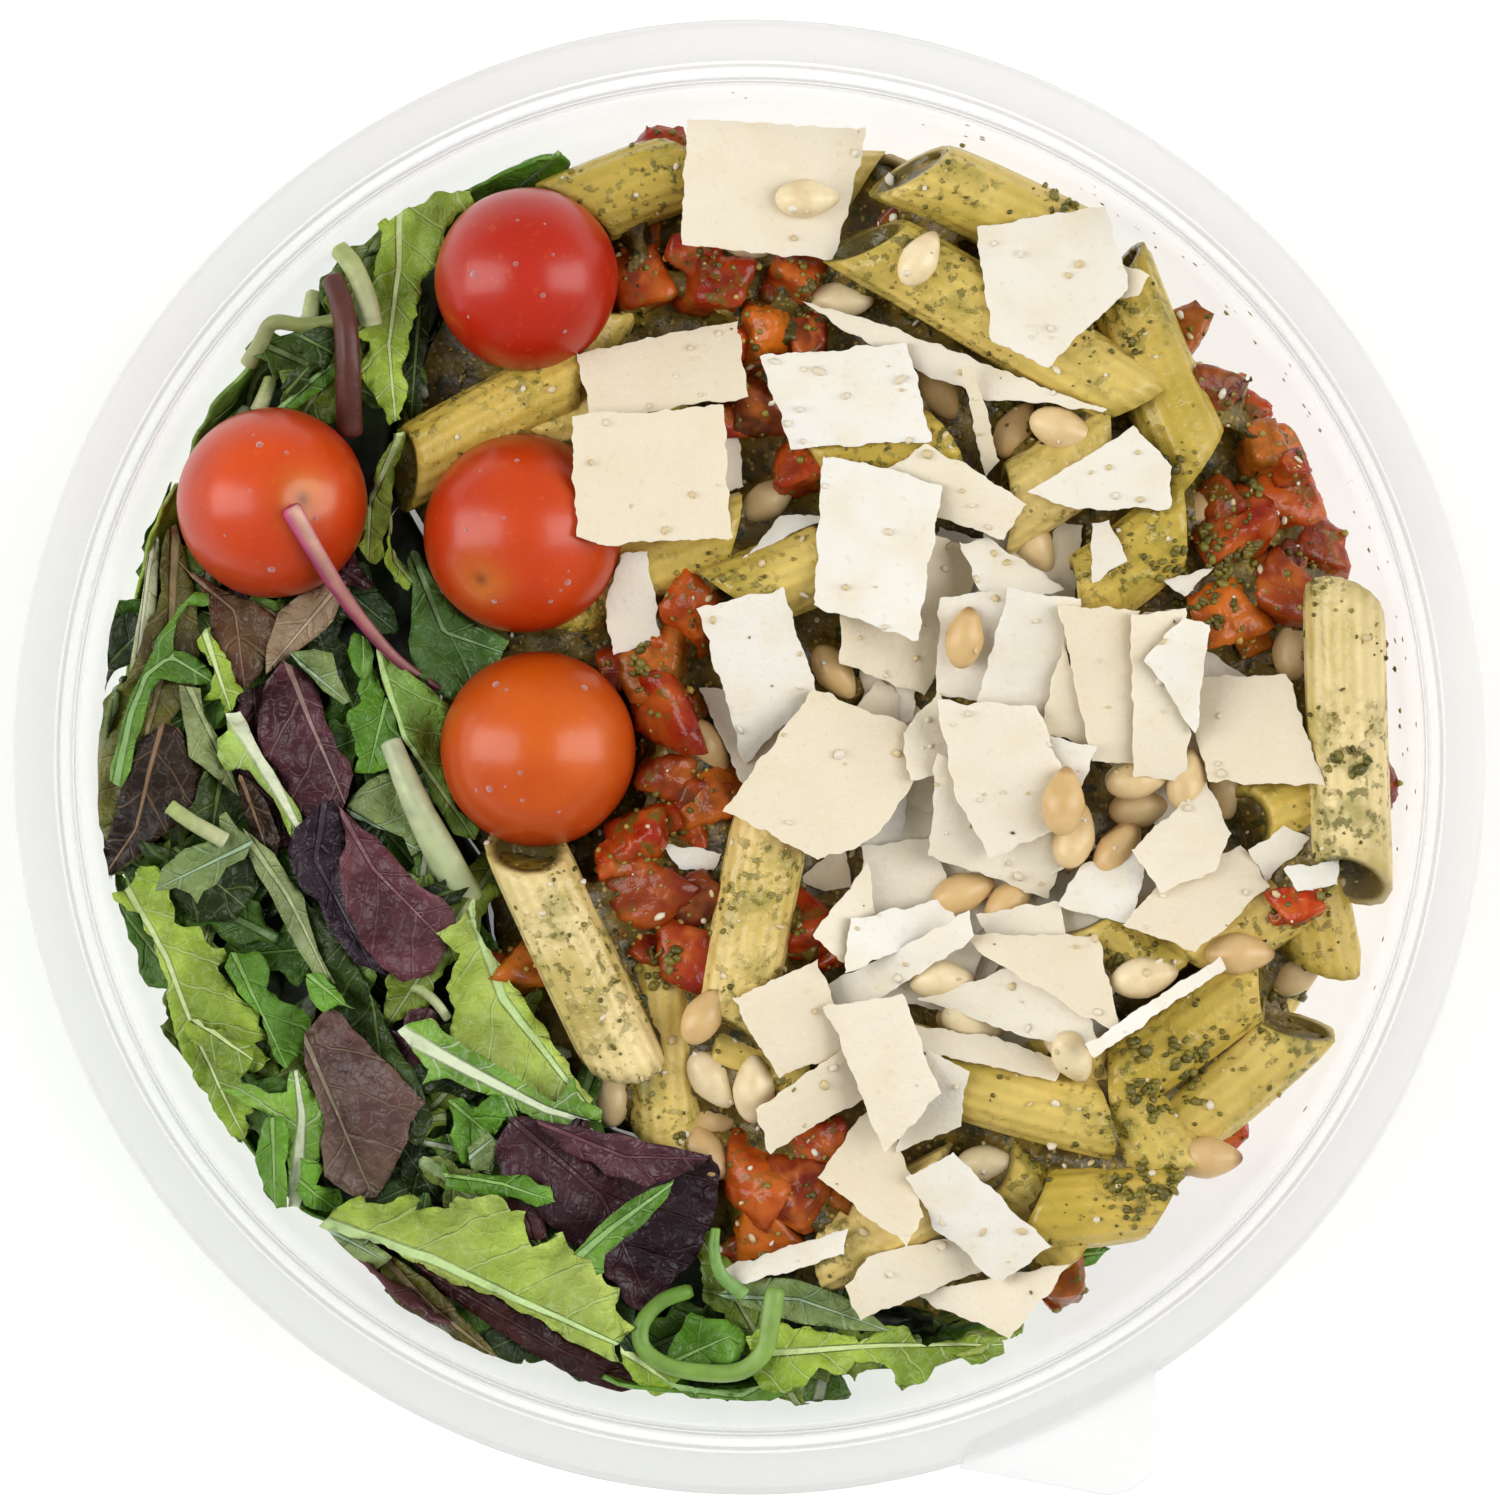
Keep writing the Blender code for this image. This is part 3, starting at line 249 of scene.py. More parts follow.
# The line between leaves and pasta, from the back to the front
DIVIDE = (
    (-24.5, 95), (-36, 74.5), (-40, 59), (-46, 47), (-47.5, 37), (-41, 25.5), (-41, 15), (-41, -5.5),
    (-35.5, -13.5), (-34, -25), (-24.5, -43), (-19, -49), (-9, -52.5), (-6, -66), (7, -70), (34, -76),
    (46, -70), (60, -85),
)

# kind, how many layers it is lifted, and its midrib and its outline, each as x, y, x, y
LEAVES = (
    ("stalk", 0, (-77.7, 29.2, -80.1, 8.6), (-78.2, 29.2, -77.5, 29.7, -77, 28.3, -77.2, 20.2, -78.1, 12.5,
     -79.2, 8.6, -81.1, 8.4, -80.1, 15.1, -78.8, 22.8)),
    ("olive", 0, (-74.9, 29.9, -75.3, 15.1, -78.5, 2.2, -84.3, -15.6), (-75.9, 29.5, -74.8, 30.4, -73.9, 27.3,
     -72.1, 21.5, -71.3, 15.1, -72.1, 8.6, -75.3, 4.5, -72.7, 1.5, -71.6, -1, -71.4, -4.2, -74, -7.1, -77.2,
     -10.7, -79.4, -13.3, -83, -15.6, -84.7, -16.3, -85.5, -13.9, -86.5, -10.7, -87, -6.8, -87.3, -3, -86.9,
     0.9, -86.2, 4.1, -85.2, 6.7, -83, 8.6, -81.1, 9.9, -79.8, 12.5, -79.2, 15.1, -78.5, 17, -77.2, 18.7,
     -76.6, 21.5, -76.8, 25.4)),
    ("oak", 0.4, (-76.2, 4.5, -77.9, -1.7, -79.8, -9.4, -84.3, -15.8), (-76.2, 4.5, -74, 3.7, -72.7, 0.9,
     -71.6, -1.7, -71.3, -4.9, -72.7, -7.5, -75.9, -10, -79.2, -12.6, -84.7, -16.3, -84.3, -12, -82.4, -7.5,
     -81.7, -4.2, -80.4, -0.4, -78.5, 2.8)),
    ("crescent", 0.2, (-44, -65.6, -32.2, -72.7, -24.5, -77.3, -14.2, -81.7), (-44.4, -65, -41.2, -66.7,
     -37.3, -68.3, -32.2, -70.5, -28.3, -72.2, -24.5, -74.8, -19.3, -78.2, -16.1, -79.2, -13.9, -81.9, -16.7,
     -82.8, -20.6, -81.7, -24.5, -79.9, -28.3, -77.6, -32.2, -75, -36, -72.5, -39.9, -69.6, -42.7, -67.3)),
    ("dark", 0, (-74.6, -12, -66.9, -18.4), (-79.5, -10.9, -77.2, -11.3, -75.3, -12.2, -73.9, -11.1, -71.8,
     -12.6, -65.6, -12, -63.3, -14.5, -64.4, -18.4, -67.2, -21.6, -70.1, -21.6, -72.1, -21.6, -74.6, -19,
     -75.3, -15.8, -77.2, -14.5, -78.5, -13.3)),
    ("dark", 0.2, (-68.9, -3, -70.1, -10.7), (-70.8, -1.7, -67.2, -3, -65.9, -5.5, -66.7, -9.4, -68.5, -7.5,
     -70.1, -11.3, -72.1, -10, -73.4, -7.5, -71.8, -5.5)),
    ("dark", 0.2, (-43.1, 58.8, -44, 45.9), (-43.1, 58.8, -41.7, 59.3, -42.1, 53.7, -43.1, 49.8, -42.5, 45.9,
     -44.4, 44, -45, 47.2, -44.7, 52.4)),
    ("dark", 0, (-50.2, -23.6, -47.6, -41.6), (-57.9, -18.4, -54.1, -22.3, -51.5, -26.1, -48.9, -31.3, -46.3,
     -36.4, -43.1, -41.6, -41.2, -46.7, -42.5, -50.6, -45, -48, -48.9, -39, -52.8, -33.8, -55.3, -30, -57.9,
     -24.8)),
    ("rocket", 0.6, (-61.1, 45.7, -53.8, 51.4), (-61.5, 45.4, -57.9, 48.5, -53.8, 52.1, -53.5, 49.5, -56.6,
     47, -59.2, 45.2)),
    ("dark", 0.6, (-60.7, 47, -57.3, 50.6), (-61.3, 47.9, -60.2, 49.8, -57.9, 51.1, -56.4, 50.3, -57.9, 48,
     -60, 46.7)),
    ("dark", 0.8, (-58.9, 55, -54.1, 52.4), (-59.5, 55.2, -57.3, 56.5, -54.3, 55.6, -53.5, 53, -55.1, 50.3,
     -57.3, 51.1, -58.6, 52.9)),
    ("frill", 1.2, (-45.7, 71.7, -45.7, 64, -47, 53.7, -46.1, 44), (-49.2, 70.7, -47, 69.8, -45, 71, -42.5,
     72.3, -40.4, 73.9, -38.6, 73.2, -36.7, 73.6, -36, 71.9, -38, 71, -39.9, 68.5, -40.4, 65.9, -41.2, 64,
     -42.5, 62, -43.5, 58.8, -44.4, 55, -44.8, 51.1, -44.8, 45.9, -45.3, 43.6, -47, 43.1, -47.9, 45.3, -48.6,
     47.2, -49.9, 48.8, -51, 50.3, -50.2, 52.4, -49.5, 53.7, -51.7, 54.3, -51.2, 55.6, -50.6, 57.5, -49.9,
     59.5, -48.9, 62.7, -47.9, 65.9, -47.6, 68.5)),
    ("frill", 1, (-45.6, 41.8, -49.5, 33.1, -49.7, 26), (-45.3, 42.3, -45.4, 40.2, -46.3, 36.9, -47.1, 33.1,
     -47.6, 29.2, -48.6, 25.1, -50.2, 26.9, -50.6, 30.5, -49.9, 33.7, -48.9, 36.9, -47.1, 39.8)),
    ("frill", 1.4, (-46.6, 32.4, -46.1, 25.4, -44, 22.8), (-45.8, 32.7, -46.6, 30.5, -46.6, 27.9, -45.9, 26,
     -44.8, 24.7, -43.9, 23.4, -44.5, 21.5, -46.3, 22.8, -47.2, 25.1, -47.4, 28.6, -47.1, 31.1)),
    ("spinach", 0.8, (-43.8, 26.6, -39.9, 16.3, -32.8, 13.8), (-44, 26.9, -43, 26.6, -41.4, 23.4, -39.3, 20.2,
     -36.7, 17.6, -33.5, 16.3, -31.3, 15.1, -32.6, 12.5, -35.4, 8.6, -38.4, 7.1, -41.2, 8.6, -43.8, 11.2,
     -44.4, 15.1, -44, 18.9, -43.8, 22.8, -44.5, 25.4)),
    ("sage", 0.6, (-52.1, -7.1, -43.1, -12), (-52.5, -6.8, -51.5, -4.9, -49.5, -3, -47, -1.9, -45, -3, -43.5,
     -5.5, -42.5, -8.8, -42.7, -12, -44, -12.9, -45, -10.4, -47, -9.7, -49.5, -8.8, -51.5, -7.9)),
    ("leaf", 0.8, (-47, 8.6, -49.5, -1.7), (-52.4, 4.5, -51.5, 2.8, -51.5, 0.9, -50.7, -0.1, -51.5, -2.1,
     -48.9, -1.9, -46.1, -1.2, -45, 1.5, -45.7, 4.8, -46.7, 7.3, -47.9, 9.3, -48.9, 11.8, -49.5, 13.5, -50.8,
     12.2, -50.3, 10.2, -51.2, 8.6, -50.5, 7.1, -52, 6)),
    ("leaf", 0.8, (-50.5, 20.2, -50.2, 12.5), (-51.5, 16.1, -49.9, 15.1, -48.9, 13.1, -49.2, 10.9, -50.5, 9.9,
     -51.5, 11.2, -52.1, 13.1, -52, 15.1)),
    ("chard", 1, (-48.6, 13.8, -45, 2.8, -36, -10.4), (-48.6, 14, -45, 11.5, -41.2, 8.6, -39, 6.7, -39.6, 3.5,
     -39.9, -1.7, -38, -6.8, -35.1, -9.4, -35.8, -10.9, -38.6, -10, -41.2, -5.5, -43.1, -0.4, -45, 2.4, -46.3,
     6, -47.9, 9.9)),
    ("brown", 1, (-73.4, 24.3, -66.9, 18.9, -65.6, 9.3), (-73.6, 24.6, -72.1, 23.7, -68.9, 21.8, -65, 20.5,
     -61.5, 18.7, -61.8, 15.1, -62.8, 12.2, -63.7, 10.6, -65.6, 8.9, -67.2, 9.7, -68.9, 12.5, -69.9, 16.3,
     -70.4, 19.8, -71.4, 21.8)),
    ("beige", 1.6, (-54.1, 21.5, -62.4, 11.5), (-55.6, 23.4, -53.2, 20.5, -54.1, 17.6, -57.9, 14.4, -62.8,
     10.7, -62.8, 14.4, -61.1, 18.7, -59.2, 20.5)),
    ("rocket", 1.6, (-82.2, -3.3, -80.4, 5.4, -78.5, 10.6, -75.3, 13.1, -70, 9.9), (-83.1, -3, -81.5, -4,
     -80.4, -1.7, -79.8, 1.5, -78.5, 5.4, -77.9, 8.6, -76.6, 10.2, -74, 9.7, -71.4, 9.3, -69.1, 9, -69.9,
     10.9, -71.4, 12.5, -73.4, 13.8, -74.9, 13.8, -75, 15.3, -74.4, 17.6, -73.1, 19.6, -70.3, 19.7, -70.3,
     21.1, -72.1, 21.5, -74, 19.8, -75.3, 17.9, -76.6, 16, -77.9, 13.1, -78.9, 10.9, -80.3, 8.6, -81.1, 6,
     -82, 2.2, -82.9, -1)),
    ("frill", 1.8, (-70.8, 16.3, -67.6, 6.7), (-71.8, 15.1, -70.1, 16.9, -68.9, 13.8, -66.9, 10.2, -65.9, 8.6,
     -67.2, 6.3, -68.2, 5.7, -68.7, 7.7, -70.8, 7.3, -69.5, 8.9, -69.2, 10.9)),
    ("strip", 1.2, (-72.7, 8.9, -66.7, -4.5), (-74.1, 9.3, -71.3, 8.9, -70.8, 5.4, -68.9, 2.2, -67.2, -2.3,
     -66.4, -5.1, -69.5, -2.6, -72.7, 0, -73.1, 2.8, -73.9, 6.7)),
    ("purple", 1.4, (-59.8, 11.5, -57.3, 4.8, -52.8, -5.5), (-60.5, 12.5, -62.8, 9.9, -63.6, 6.7, -64.2, 3.5,
     -63.7, 0.9, -62, -1, -60.5, -4.2, -57.9, -7.5, -56.6, -8.4, -53.2, -7.5, -52.1, -4.9, -51.5, -2.3, -52.1,
     -0.4, -53.4, 0.9, -55.1, 4.8, -56, 8.6, -57.9, 11.2)),
    ("paleleaf", 1.8, (-66.9, 5.8, -63.7, 0.3, -58.9, -8.8), (-68, 5.8, -65.9, 6, -64.6, 2.8, -63.3, 0.3,
     -61.1, -3, -58.6, -6.8, -57.9, -8.8, -59.5, -10.4, -61.8, -5.5, -63.7, -3.6, -65, -1.7, -66.3, -1.4, -68,
     -1.7, -69, 0.3, -69.2, 2.4, -67.7, 3.5)),
    ("oak", 1, (-66.2, -2.4, -62.8, -12), (-66.3, -2.3, -64.4, -3.3, -62.4, -6.8, -60.9, -10.7, -61.5, -13.5,
     -64.1, -11.7, -65.4, -8.4, -66.5, -5.5)),
    ("sage", 1.8, (-59.5, 13.1, -52.5, 7.3), (-59.7, 13.5, -56.6, 14, -54.3, 13.5, -53.4, 10.6, -51.9, 7.3,
     -52.8, 6.8, -55.3, 8.6, -57.9, 11.2)),
    ("strip", 1.6, (-65.6, -10, -59.8, -18.4, -54.7, -28.7), (-65.9, -9.1, -63.7, -11.1, -61.8, -12.6, -59.8,
     -15.8, -57.9, -18.1, -56.9, -22.3, -56, -25.1, -54.6, -27.7, -53.8, -29.5, -56.6, -28.4, -58.6, -25.1,
     -60.5, -21.6, -62.4, -17.8, -64.4, -14.5, -65.5, -12)),
    ("black", 2, (-55.3, -6.2, -56.4, -13.3, -48.9, -27.4), (-55.6, -5.8, -54.1, -5.5, -52.8, -8.8, -52.1,
     -12, -52.5, -15.8, -51.5, -19.7, -49.9, -23.6, -47.9, -26.4, -47, -28.3, -51.2, -26.8, -54.1, -22.9, -56,
     -19, -57.9, -17.1, -59.6, -14.5, -60.1, -12, -59.2, -9.4, -57.3, -7.5)),
    ("maroon", 2.2, (-53, -7.1, -48.9, -14.5, -39.3, -24.2), (-53.4, -6.2, -51.5, -8.1, -48.3, -10.7, -45.7,
     -13.3, -43.1, -16.5, -39.9, -18.4, -38.2, -20.3, -38, -22.3, -39.3, -24.8, -41.2, -28.1, -45, -29.3,
     -47.6, -27.4, -50.2, -24.2, -52.1, -20.3, -53.2, -16.5, -53.2, -13.9, -52.4, -11.3, -52.5, -9.4)),
    ("frill", 1, (-81.1, -17.1, -75.9, -26.1, -72.1, -36.4, -66.3, -48.6), (-83.7, -18.3, -81.7, -17.1, -80.2,
     -16.3, -79.2, -14.5, -77.2, -14, -75.3, -15.6, -75.2, -17.4, -74.6, -19, -74.9, -21.6, -73.6, -22.3,
     -71.8, -22.3, -70, -24.2, -68.2, -24.8, -68, -26.4, -69.2, -27.2, -67.6, -29.3, -66.3, -31.3, -64.4,
     -32.3, -63.3, -33.2, -64, -35.1, -62.8, -36.7, -64.4, -37.1, -62.3, -39.3, -63.7, -40.9, -65.6, -41.6,
     -64.9, -43.6, -65.9, -44.8, -64.9, -45.7, -65.9, -46.7, -65.3, -48, -65.9, -49.7, -68.2, -48, -70.1,
     -46.1, -71.4, -43.5, -72.7, -40.9, -74, -37.7, -74.9, -35.1, -75.9, -32.6, -76.2, -29.3, -77, -26.1,
     -77.9, -23.6, -79.2, -21, -81.1, -19.2)),
    ("frill", 1.8, (-72.7, -33.8, -65, -39), (-73.6, -35.6, -71.8, -34.1, -70.1, -35.1, -68.5, -34.6, -68,
     -36.4, -65.9, -36.9, -64.6, -38, -64.9, -39.8, -66.7, -41.1, -69, -40.5, -70.1, -39, -71.8, -37.5)),
    ("leaf", 1.2, (-66.9, -26.1, -60.5, -39.6), (-67.6, -25.5, -65.6, -25.7, -64.1, -25.4, -62.8, -26.4,
     -62.2, -28.1, -62.8, -30, -61.1, -31.3, -59.2, -32.3, -57.3, -34.1, -57.3, -35.8, -58.3, -36.7, -58.8,
     -39, -60.4, -40.7, -61.5, -39, -62.8, -36.4, -63.6, -33.2, -65.3, -31.9, -66.9, -30, -68, -27.4)),
    ("sage", 2.2, (-65, -11.3, -76.6, -16.9), (-76.3, -14.5, -77.2, -17.5, -74.6, -16.9, -72.7, -17.8, -71.7,
     -19.2, -71, -17.5, -69.2, -16.5, -68, -14.5, -65.6, -13.3, -64.6, -10.9, -66.7, -9.1, -68, -7.1, -68.9,
     -7.6, -68.7, -10, -70.8, -11.1, -73.4, -11.8)),
    ("mizuna", 2.2, (-59.2, -58.6, -58.2, -46.7, -58.9, -41.3), (-60.1, -58.6, -58.3, -58.7, -57.3, -54.4,
     -55.9, -51.9, -55, -48, -55.6, -44.8, -57.3, -42.9, -58.6, -40.5, -59.6, -40.9, -60.1, -43.5, -62.4,
     -43.5, -65.6, -42.2, -69, -43.1, -65.6, -45.2, -62.8, -46.1, -60.5, -47.4, -60, -50.6)),
    ("leaf", 1, (-62, -47.4, -61.8, -58.3), (-62.8, -47.1, -60.4, -46.7, -60, -50.6, -60.2, -58.6, -63.3,
     -58.7, -63.7, -55.7, -64.5, -52.5, -63.6, -49.3)),
    ("leaf", 0.8, (-59.2, -54.4, -54.1, -58.9), (-58.4, -51.9, -55.6, -53.2, -56.4, -55.7, -53.5, -56.4, -53,
     -58.3, -55.1, -59.2, -57.9, -58.3, -58.9, -56.4)),
    ("greybrown", 2.2, (-57.3, -37.7, -53.4, -46.7, -49.2, -56.8), (-55.1, -32.6, -53.4, -32.8, -51.5, -35.1,
     -49.5, -37.1, -47, -39.6, -44.4, -42.2, -42.1, -44.8, -44, -47.4, -44.4, -49.9, -45.7, -52.5, -47, -55.1,
     -48.6, -57.3, -50.8, -57.4, -53, -56.4, -55.3, -54.4, -55.7, -50.6, -55.1, -47.4, -56.6, -42.9, -57.9,
     -39.6, -57.9, -35.8, -56.6, -34.5)),
    ("leaf", 1.8, (-57.1, -28.4, -52, -32.6), (-57.5, -28.4, -55.3, -28.2, -53.4, -30.4, -51.2, -32.8, -53.3,
     -32.3, -55.3, -33.3, -56.9, -31.3)),
    ("lettuce", 2, (-36, -19, -32.2, -31.3, -21.2, -45.2), (-40.8, -22.7, -39.3, -22.3, -37.6, -21, -35.8,
     -18.1, -35.4, -22.3, -33.5, -25.9, -30.9, -29.3, -27.7, -33.8, -24.5, -39, -22.3, -42.2, -20.3, -44.4,
     -23.2, -46.1, -26.4, -45.2, -32.2, -42.2, -36, -40, -39.5, -37.7, -38.6, -35.1, -38, -32.6, -39.3, -30,
     -38.6, -27.4, -37.6, -25.5, -38.9, -24.2)),
    ("mizuna", 3, (-45, -35.9, -36, -40.8, -26.4, -45.7, -19.3, -47.7), (-45.7, -35.5, -43.8, -34.5, -41.2,
     -33.8, -39.3, -35.8, -36, -38.1, -32.2, -40.3, -28.3, -42.6, -25.1, -44.8, -22.9, -41.6, -22.1, -44.4,
     -19, -45.7, -19.3, -47.5, -22.5, -46.7, -24.5, -48.3, -26.4, -47.5, -29.6, -46.1, -32.2, -44.1, -36,
     -42.9, -39.3, -41.6, -42.5, -42.3, -41.7, -40.5, -43.8, -37.7)),
    ("rocket", 2.6, (-32.2, -44.1, -26.4, -55.7), (-32.6, -43.9, -31.1, -43.9, -29.6, -48, -27.7, -51.9, -26,
     -55.5, -27, -55.7, -29.1, -52.5, -31.1, -48.6)),
    ("leaf", 1.4, (-38.6, -44.8, -33.5, -49.3), (-39, -44.8, -37.3, -44.1, -35.4, -45.2, -33.5, -43.9, -31.9,
     -44.1, -31.3, -46.7, -33.5, -49.3, -35.4, -50.8, -37.3, -52.8, -39, -49.9, -38.2, -47.7)),
    ("sage", 1.8, (-36.3, -51.9, -33.2, -49.3), (-36.7, -50.6, -34.1, -48.4, -32.4, -49.9, -33.6, -54.2, -36,
     -53.4)),
    ("darkpurple", 1.2, (-30.2, -47.4, -19.3, -57, -12.9, -71.8), (-30.9, -46.5, -27, -47, -19.3, -49.3,
     -11.6, -50.6, -4.9, -51.5, -4.1, -53.8, -4.2, -58.9, -5.1, -60.9, -6.4, -64.1, -7.1, -65.4, -10, -68,
     -12, -71.2, -13.9, -72.7, -16.1, -71.2, -17.8, -68.6, -19.3, -66.7, -21.9, -64.1, -24.5, -62.2, -27,
     -59.6, -29.6, -57, -32.2, -54.4, -32.9, -50.6)),
    ("plum", 2.8, (-27, -47.4, -16.1, -51.9, -5.4, -52.1), (-27.7, -47, -21.9, -48, -16.7, -49, -11.6, -50.3,
     -4.8, -51.6, -6.8, -53.4, -10, -54.7, -13.5, -55.9, -16.1, -54.7, -18.7, -54.2, -20.6, -52.5, -23.8,
     -51.2, -26.4, -49)),
    ("leaf", 2.4, (-39.6, -54.2, -32.2, -55.2, -25.5, -57.5), (-40, -52.3, -39.1, -54.2, -37.3, -54.1, -32.2,
     -54.2, -28.3, -54.4, -26, -55.7, -25.2, -58, -27.7, -58.2, -30.2, -57.1, -33.5, -56.6, -36.7, -56.5,
     -39.5, -56.1)),
    ("olive", 0.6, (-47.9, -65, -41.8, -71.2, -33.5, -77.9), (-48.3, -64.2, -46.7, -64.9, -44.4, -66.3, -41.8,
     -68, -39.9, -69.9, -38, -72.2, -36.3, -73.7, -34.7, -75.7, -32.8, -78.1, -35, -78.6, -37.3, -78.5, -39.9,
     -77, -42.5, -75, -45, -72.7, -47, -69.9, -48.1, -67.3)),
    ("sage", 1, (-55.1, -61.6, -47.6, -65.5), (-55.6, -61.1, -52.1, -61.9, -48.3, -63.7, -46.6, -65, -48.6,
     -66.8, -51.5, -65.3, -53.7, -63.4)),
    ("lettuce", 2.4, (-55.3, -60.6, -41.2, -65.3, -27, -71.9, -16.5, -76.6), (-56.1, -60.9, -54.3, -58.9,
     -52.8, -57.5, -50.8, -56.9, -49.9, -58, -47.6, -58, -45.7, -57, -43.8, -56.9, -42.5, -57.7, -43.5, -58.7,
     -41.2, -58.4, -38.9, -58.6, -38, -57, -36, -57.3, -33.5, -56.6, -31.9, -57.1, -30.9, -58.9, -29.3, -58.8,
     -29.1, -61.5, -28.3, -63.4, -26.4, -62.8, -24.5, -61.6, -23.4, -63.4, -21.9, -64.5, -19.7, -64.9, -19,
     -67.3, -17.8, -68.6, -17, -68.9, -17.5, -71.2, -16.5, -73.1, -14.9, -74.1, -16.2, -75.3, -17.8, -76.6,
     -16.1, -79.2, -19.3, -77.9, -22.5, -76.3, -25.7, -74.4, -29.6, -72.2, -33.5, -70.1, -37.3, -68.6, -41.2,
     -66.7, -44.4, -65.4, -47.6, -63.4, -52.1, -62.4)),
    ("rocket", 3.6, (-22.5, -65, -18, -61.1, -10, -55.2), (-23, -64.4, -20.6, -61.9, -18.7, -59.8, -16.1,
     -57.7, -12.9, -56, -9.7, -54.7, -10.6, -57, -13.5, -60.2, -16.7, -62.8, -18.8, -64.5, -18.9, -66.8,
     -19.9, -67.2, -20.6, -65.3)),
    ("leaf", 1, (-10.3, -78.9, -1.9, -75), (-11.3, -79.7, -10, -75.7, -7.7, -72.5, -4.9, -72.7, -1.9, -74,
     -0.3, -75.7, -1.5, -78.2, -6.4, -79.3)),
    ("frill", 1.2, (-16.1, -77.3, -10, -81.7), (-16.9, -76.7, -14.2, -78, -11.6, -79.5, -8.5, -80.2, -9.5,
     -82.4, -12.2, -83, -14.2, -82, -15.8, -80.7)),
    ("rocket", 1, (-11.3, -81.5, -1.3, -83.3, 8, -77.9), (-11.6, -81, -6.4, -82.2, -1.3, -82.5, 2.6, -81.2,
     5.1, -78.9, 7.5, -77, 8.5, -78.6, 6.7, -81.9, 2.6, -83.7, -2.6, -83.9, -7.7, -83.3)),
    ("frill", 1, (1.3, -77.6, 16.7, -76.6, 32.2, -76.6), (-0.6, -75, 2.6, -73.7, 6.4, -74.3, 10.3, -75, 14.2,
     -76.3, 16.7, -74.4, 19.9, -74.1, 22.5, -76.3, 25.7, -76.6, 29, -75.4, 32.4, -75.8, 32.9, -77.3, 30.2,
     -78.9, 27, -78.2, 23.8, -79.2, 22.1, -81.5, 19.9, -82.5, 18.4, -79.9, 15.4, -78.4, 13.1, -78.6, 12.4,
     -80.8, 9.3, -79.8, 7.2, -81.2, 4.5, -83, 1.9, -82.1, 0, -80.2)),
    ("sage", 2, (-3.6, -70.1, 6.4, -70.5, 17.8, -74.5), (-4.2, -69.9, -1.9, -68.5, 2.6, -67.6, 6.4, -68, 11.6,
     -69.9, 15.4, -72.2, 18.4, -74.6, 14.2, -74.6, 9, -74, 3.9, -73, -0.6, -71.4)),
    ("leaf", 0.6, (42.2, -65, 47, -64.5), (42.2, -64.2, 44.8, -63.4, 47.1, -64.2, 45, -65.8, 42.7, -66.3)),
)

# kind, the line of its middle with heights, and the radius at each end
STEMS = (
    ("pink", ((-59.1, 32.2, 53.6), (-56.4, 27.3, 51.6), (-53.4, 22.1, 46.5), (-50.2, 17.6, 42.5), (-46.3,
     13.1, 39.8), (-42.5, 10.2, 38.4), (-38.6, 7.7, 37.2)), 1.35, 0.45),
    ("redstem", ((-54.3, 62.4, 38), (-53, 58.8, 40), (-52.3, 55, 41), (-52.1, 49.8, 40.5), (-52, 41.8, 38)),
     1.45, 1.75),
    ("palestem", ((-53.5, 66.2, 36.5), (-51.5, 63.7, 38.5), (-49.9, 59.8, 39), (-49.2, 56.2, 38)), 1.25, 1.5),
    ("olivestem", ((-65.6, 51.1, 34), (-63.8, 53.9, 36), (-62, 56.5, 38), (-57.9, 56.2, 38.5), (-53.4, 56.8,
     39.5)), 1.1, 0.9),
    ("palestem", ((-56.9, 60.4, 35), (-57.1, 58.2, 37), (-57.4, 55, 37)), 0.9, 1.2),
    ("palestem", ((-62.4, 49.3, 34), (-63.1, 47.2, 35), (-64.1, 44.9, 35)), 0.9, 1.1),
    ("stalkstem", ((-46.6, 2.2, 42), (-44.8, -2.3, 42.5), (-42.5, -7.5, 42), (-39.9, -12.6, 40.5), (-36.7,
     -19, 38)), 1.35, 2.5),
    ("palestem", ((-75.4, -6.3, 41), (-72.1, -8.6, 41), (-68, -10.9, 40.5)), 1, 1.1),
    ("palestem", ((-45.6, -29.6, 39), (-43.1, -30, 40), (-40.9, -31.7, 40), (-39.1, -34.1, 39.5)), 0.75, 0.6),
    ("greenstem", ((-40.8, -41.6, 37), (-40.7, -46.7, 37), (-42.5, -50.3, 37), (-45.6, -52.6, 36.5), (-48.9,
     -53.4, 36)), 1, 1.3),
    ("loop", ((-7.5, -69.4, 38.5), (-11.3, -70.7, 39), (-13.9, -73.5, 39.5), (-13.9, -76.6, 39.5), (-11.1,
     -78.9, 39.5), (-6.4, -79.9, 39.5), (-1.3, -79.7, 40), (1.8, -77.1, 40.5), (2.6, -73.1, 41), (3.3, -68.9,
     41)), 1, 1.3),
    ("greenstem", ((-4.4, -61.1, 41.5), (-4.6, -64.1, 41.5), (-3.6, -67.3, 41), (-0.6, -69.9, 40.5)), 0.6, 1),
)

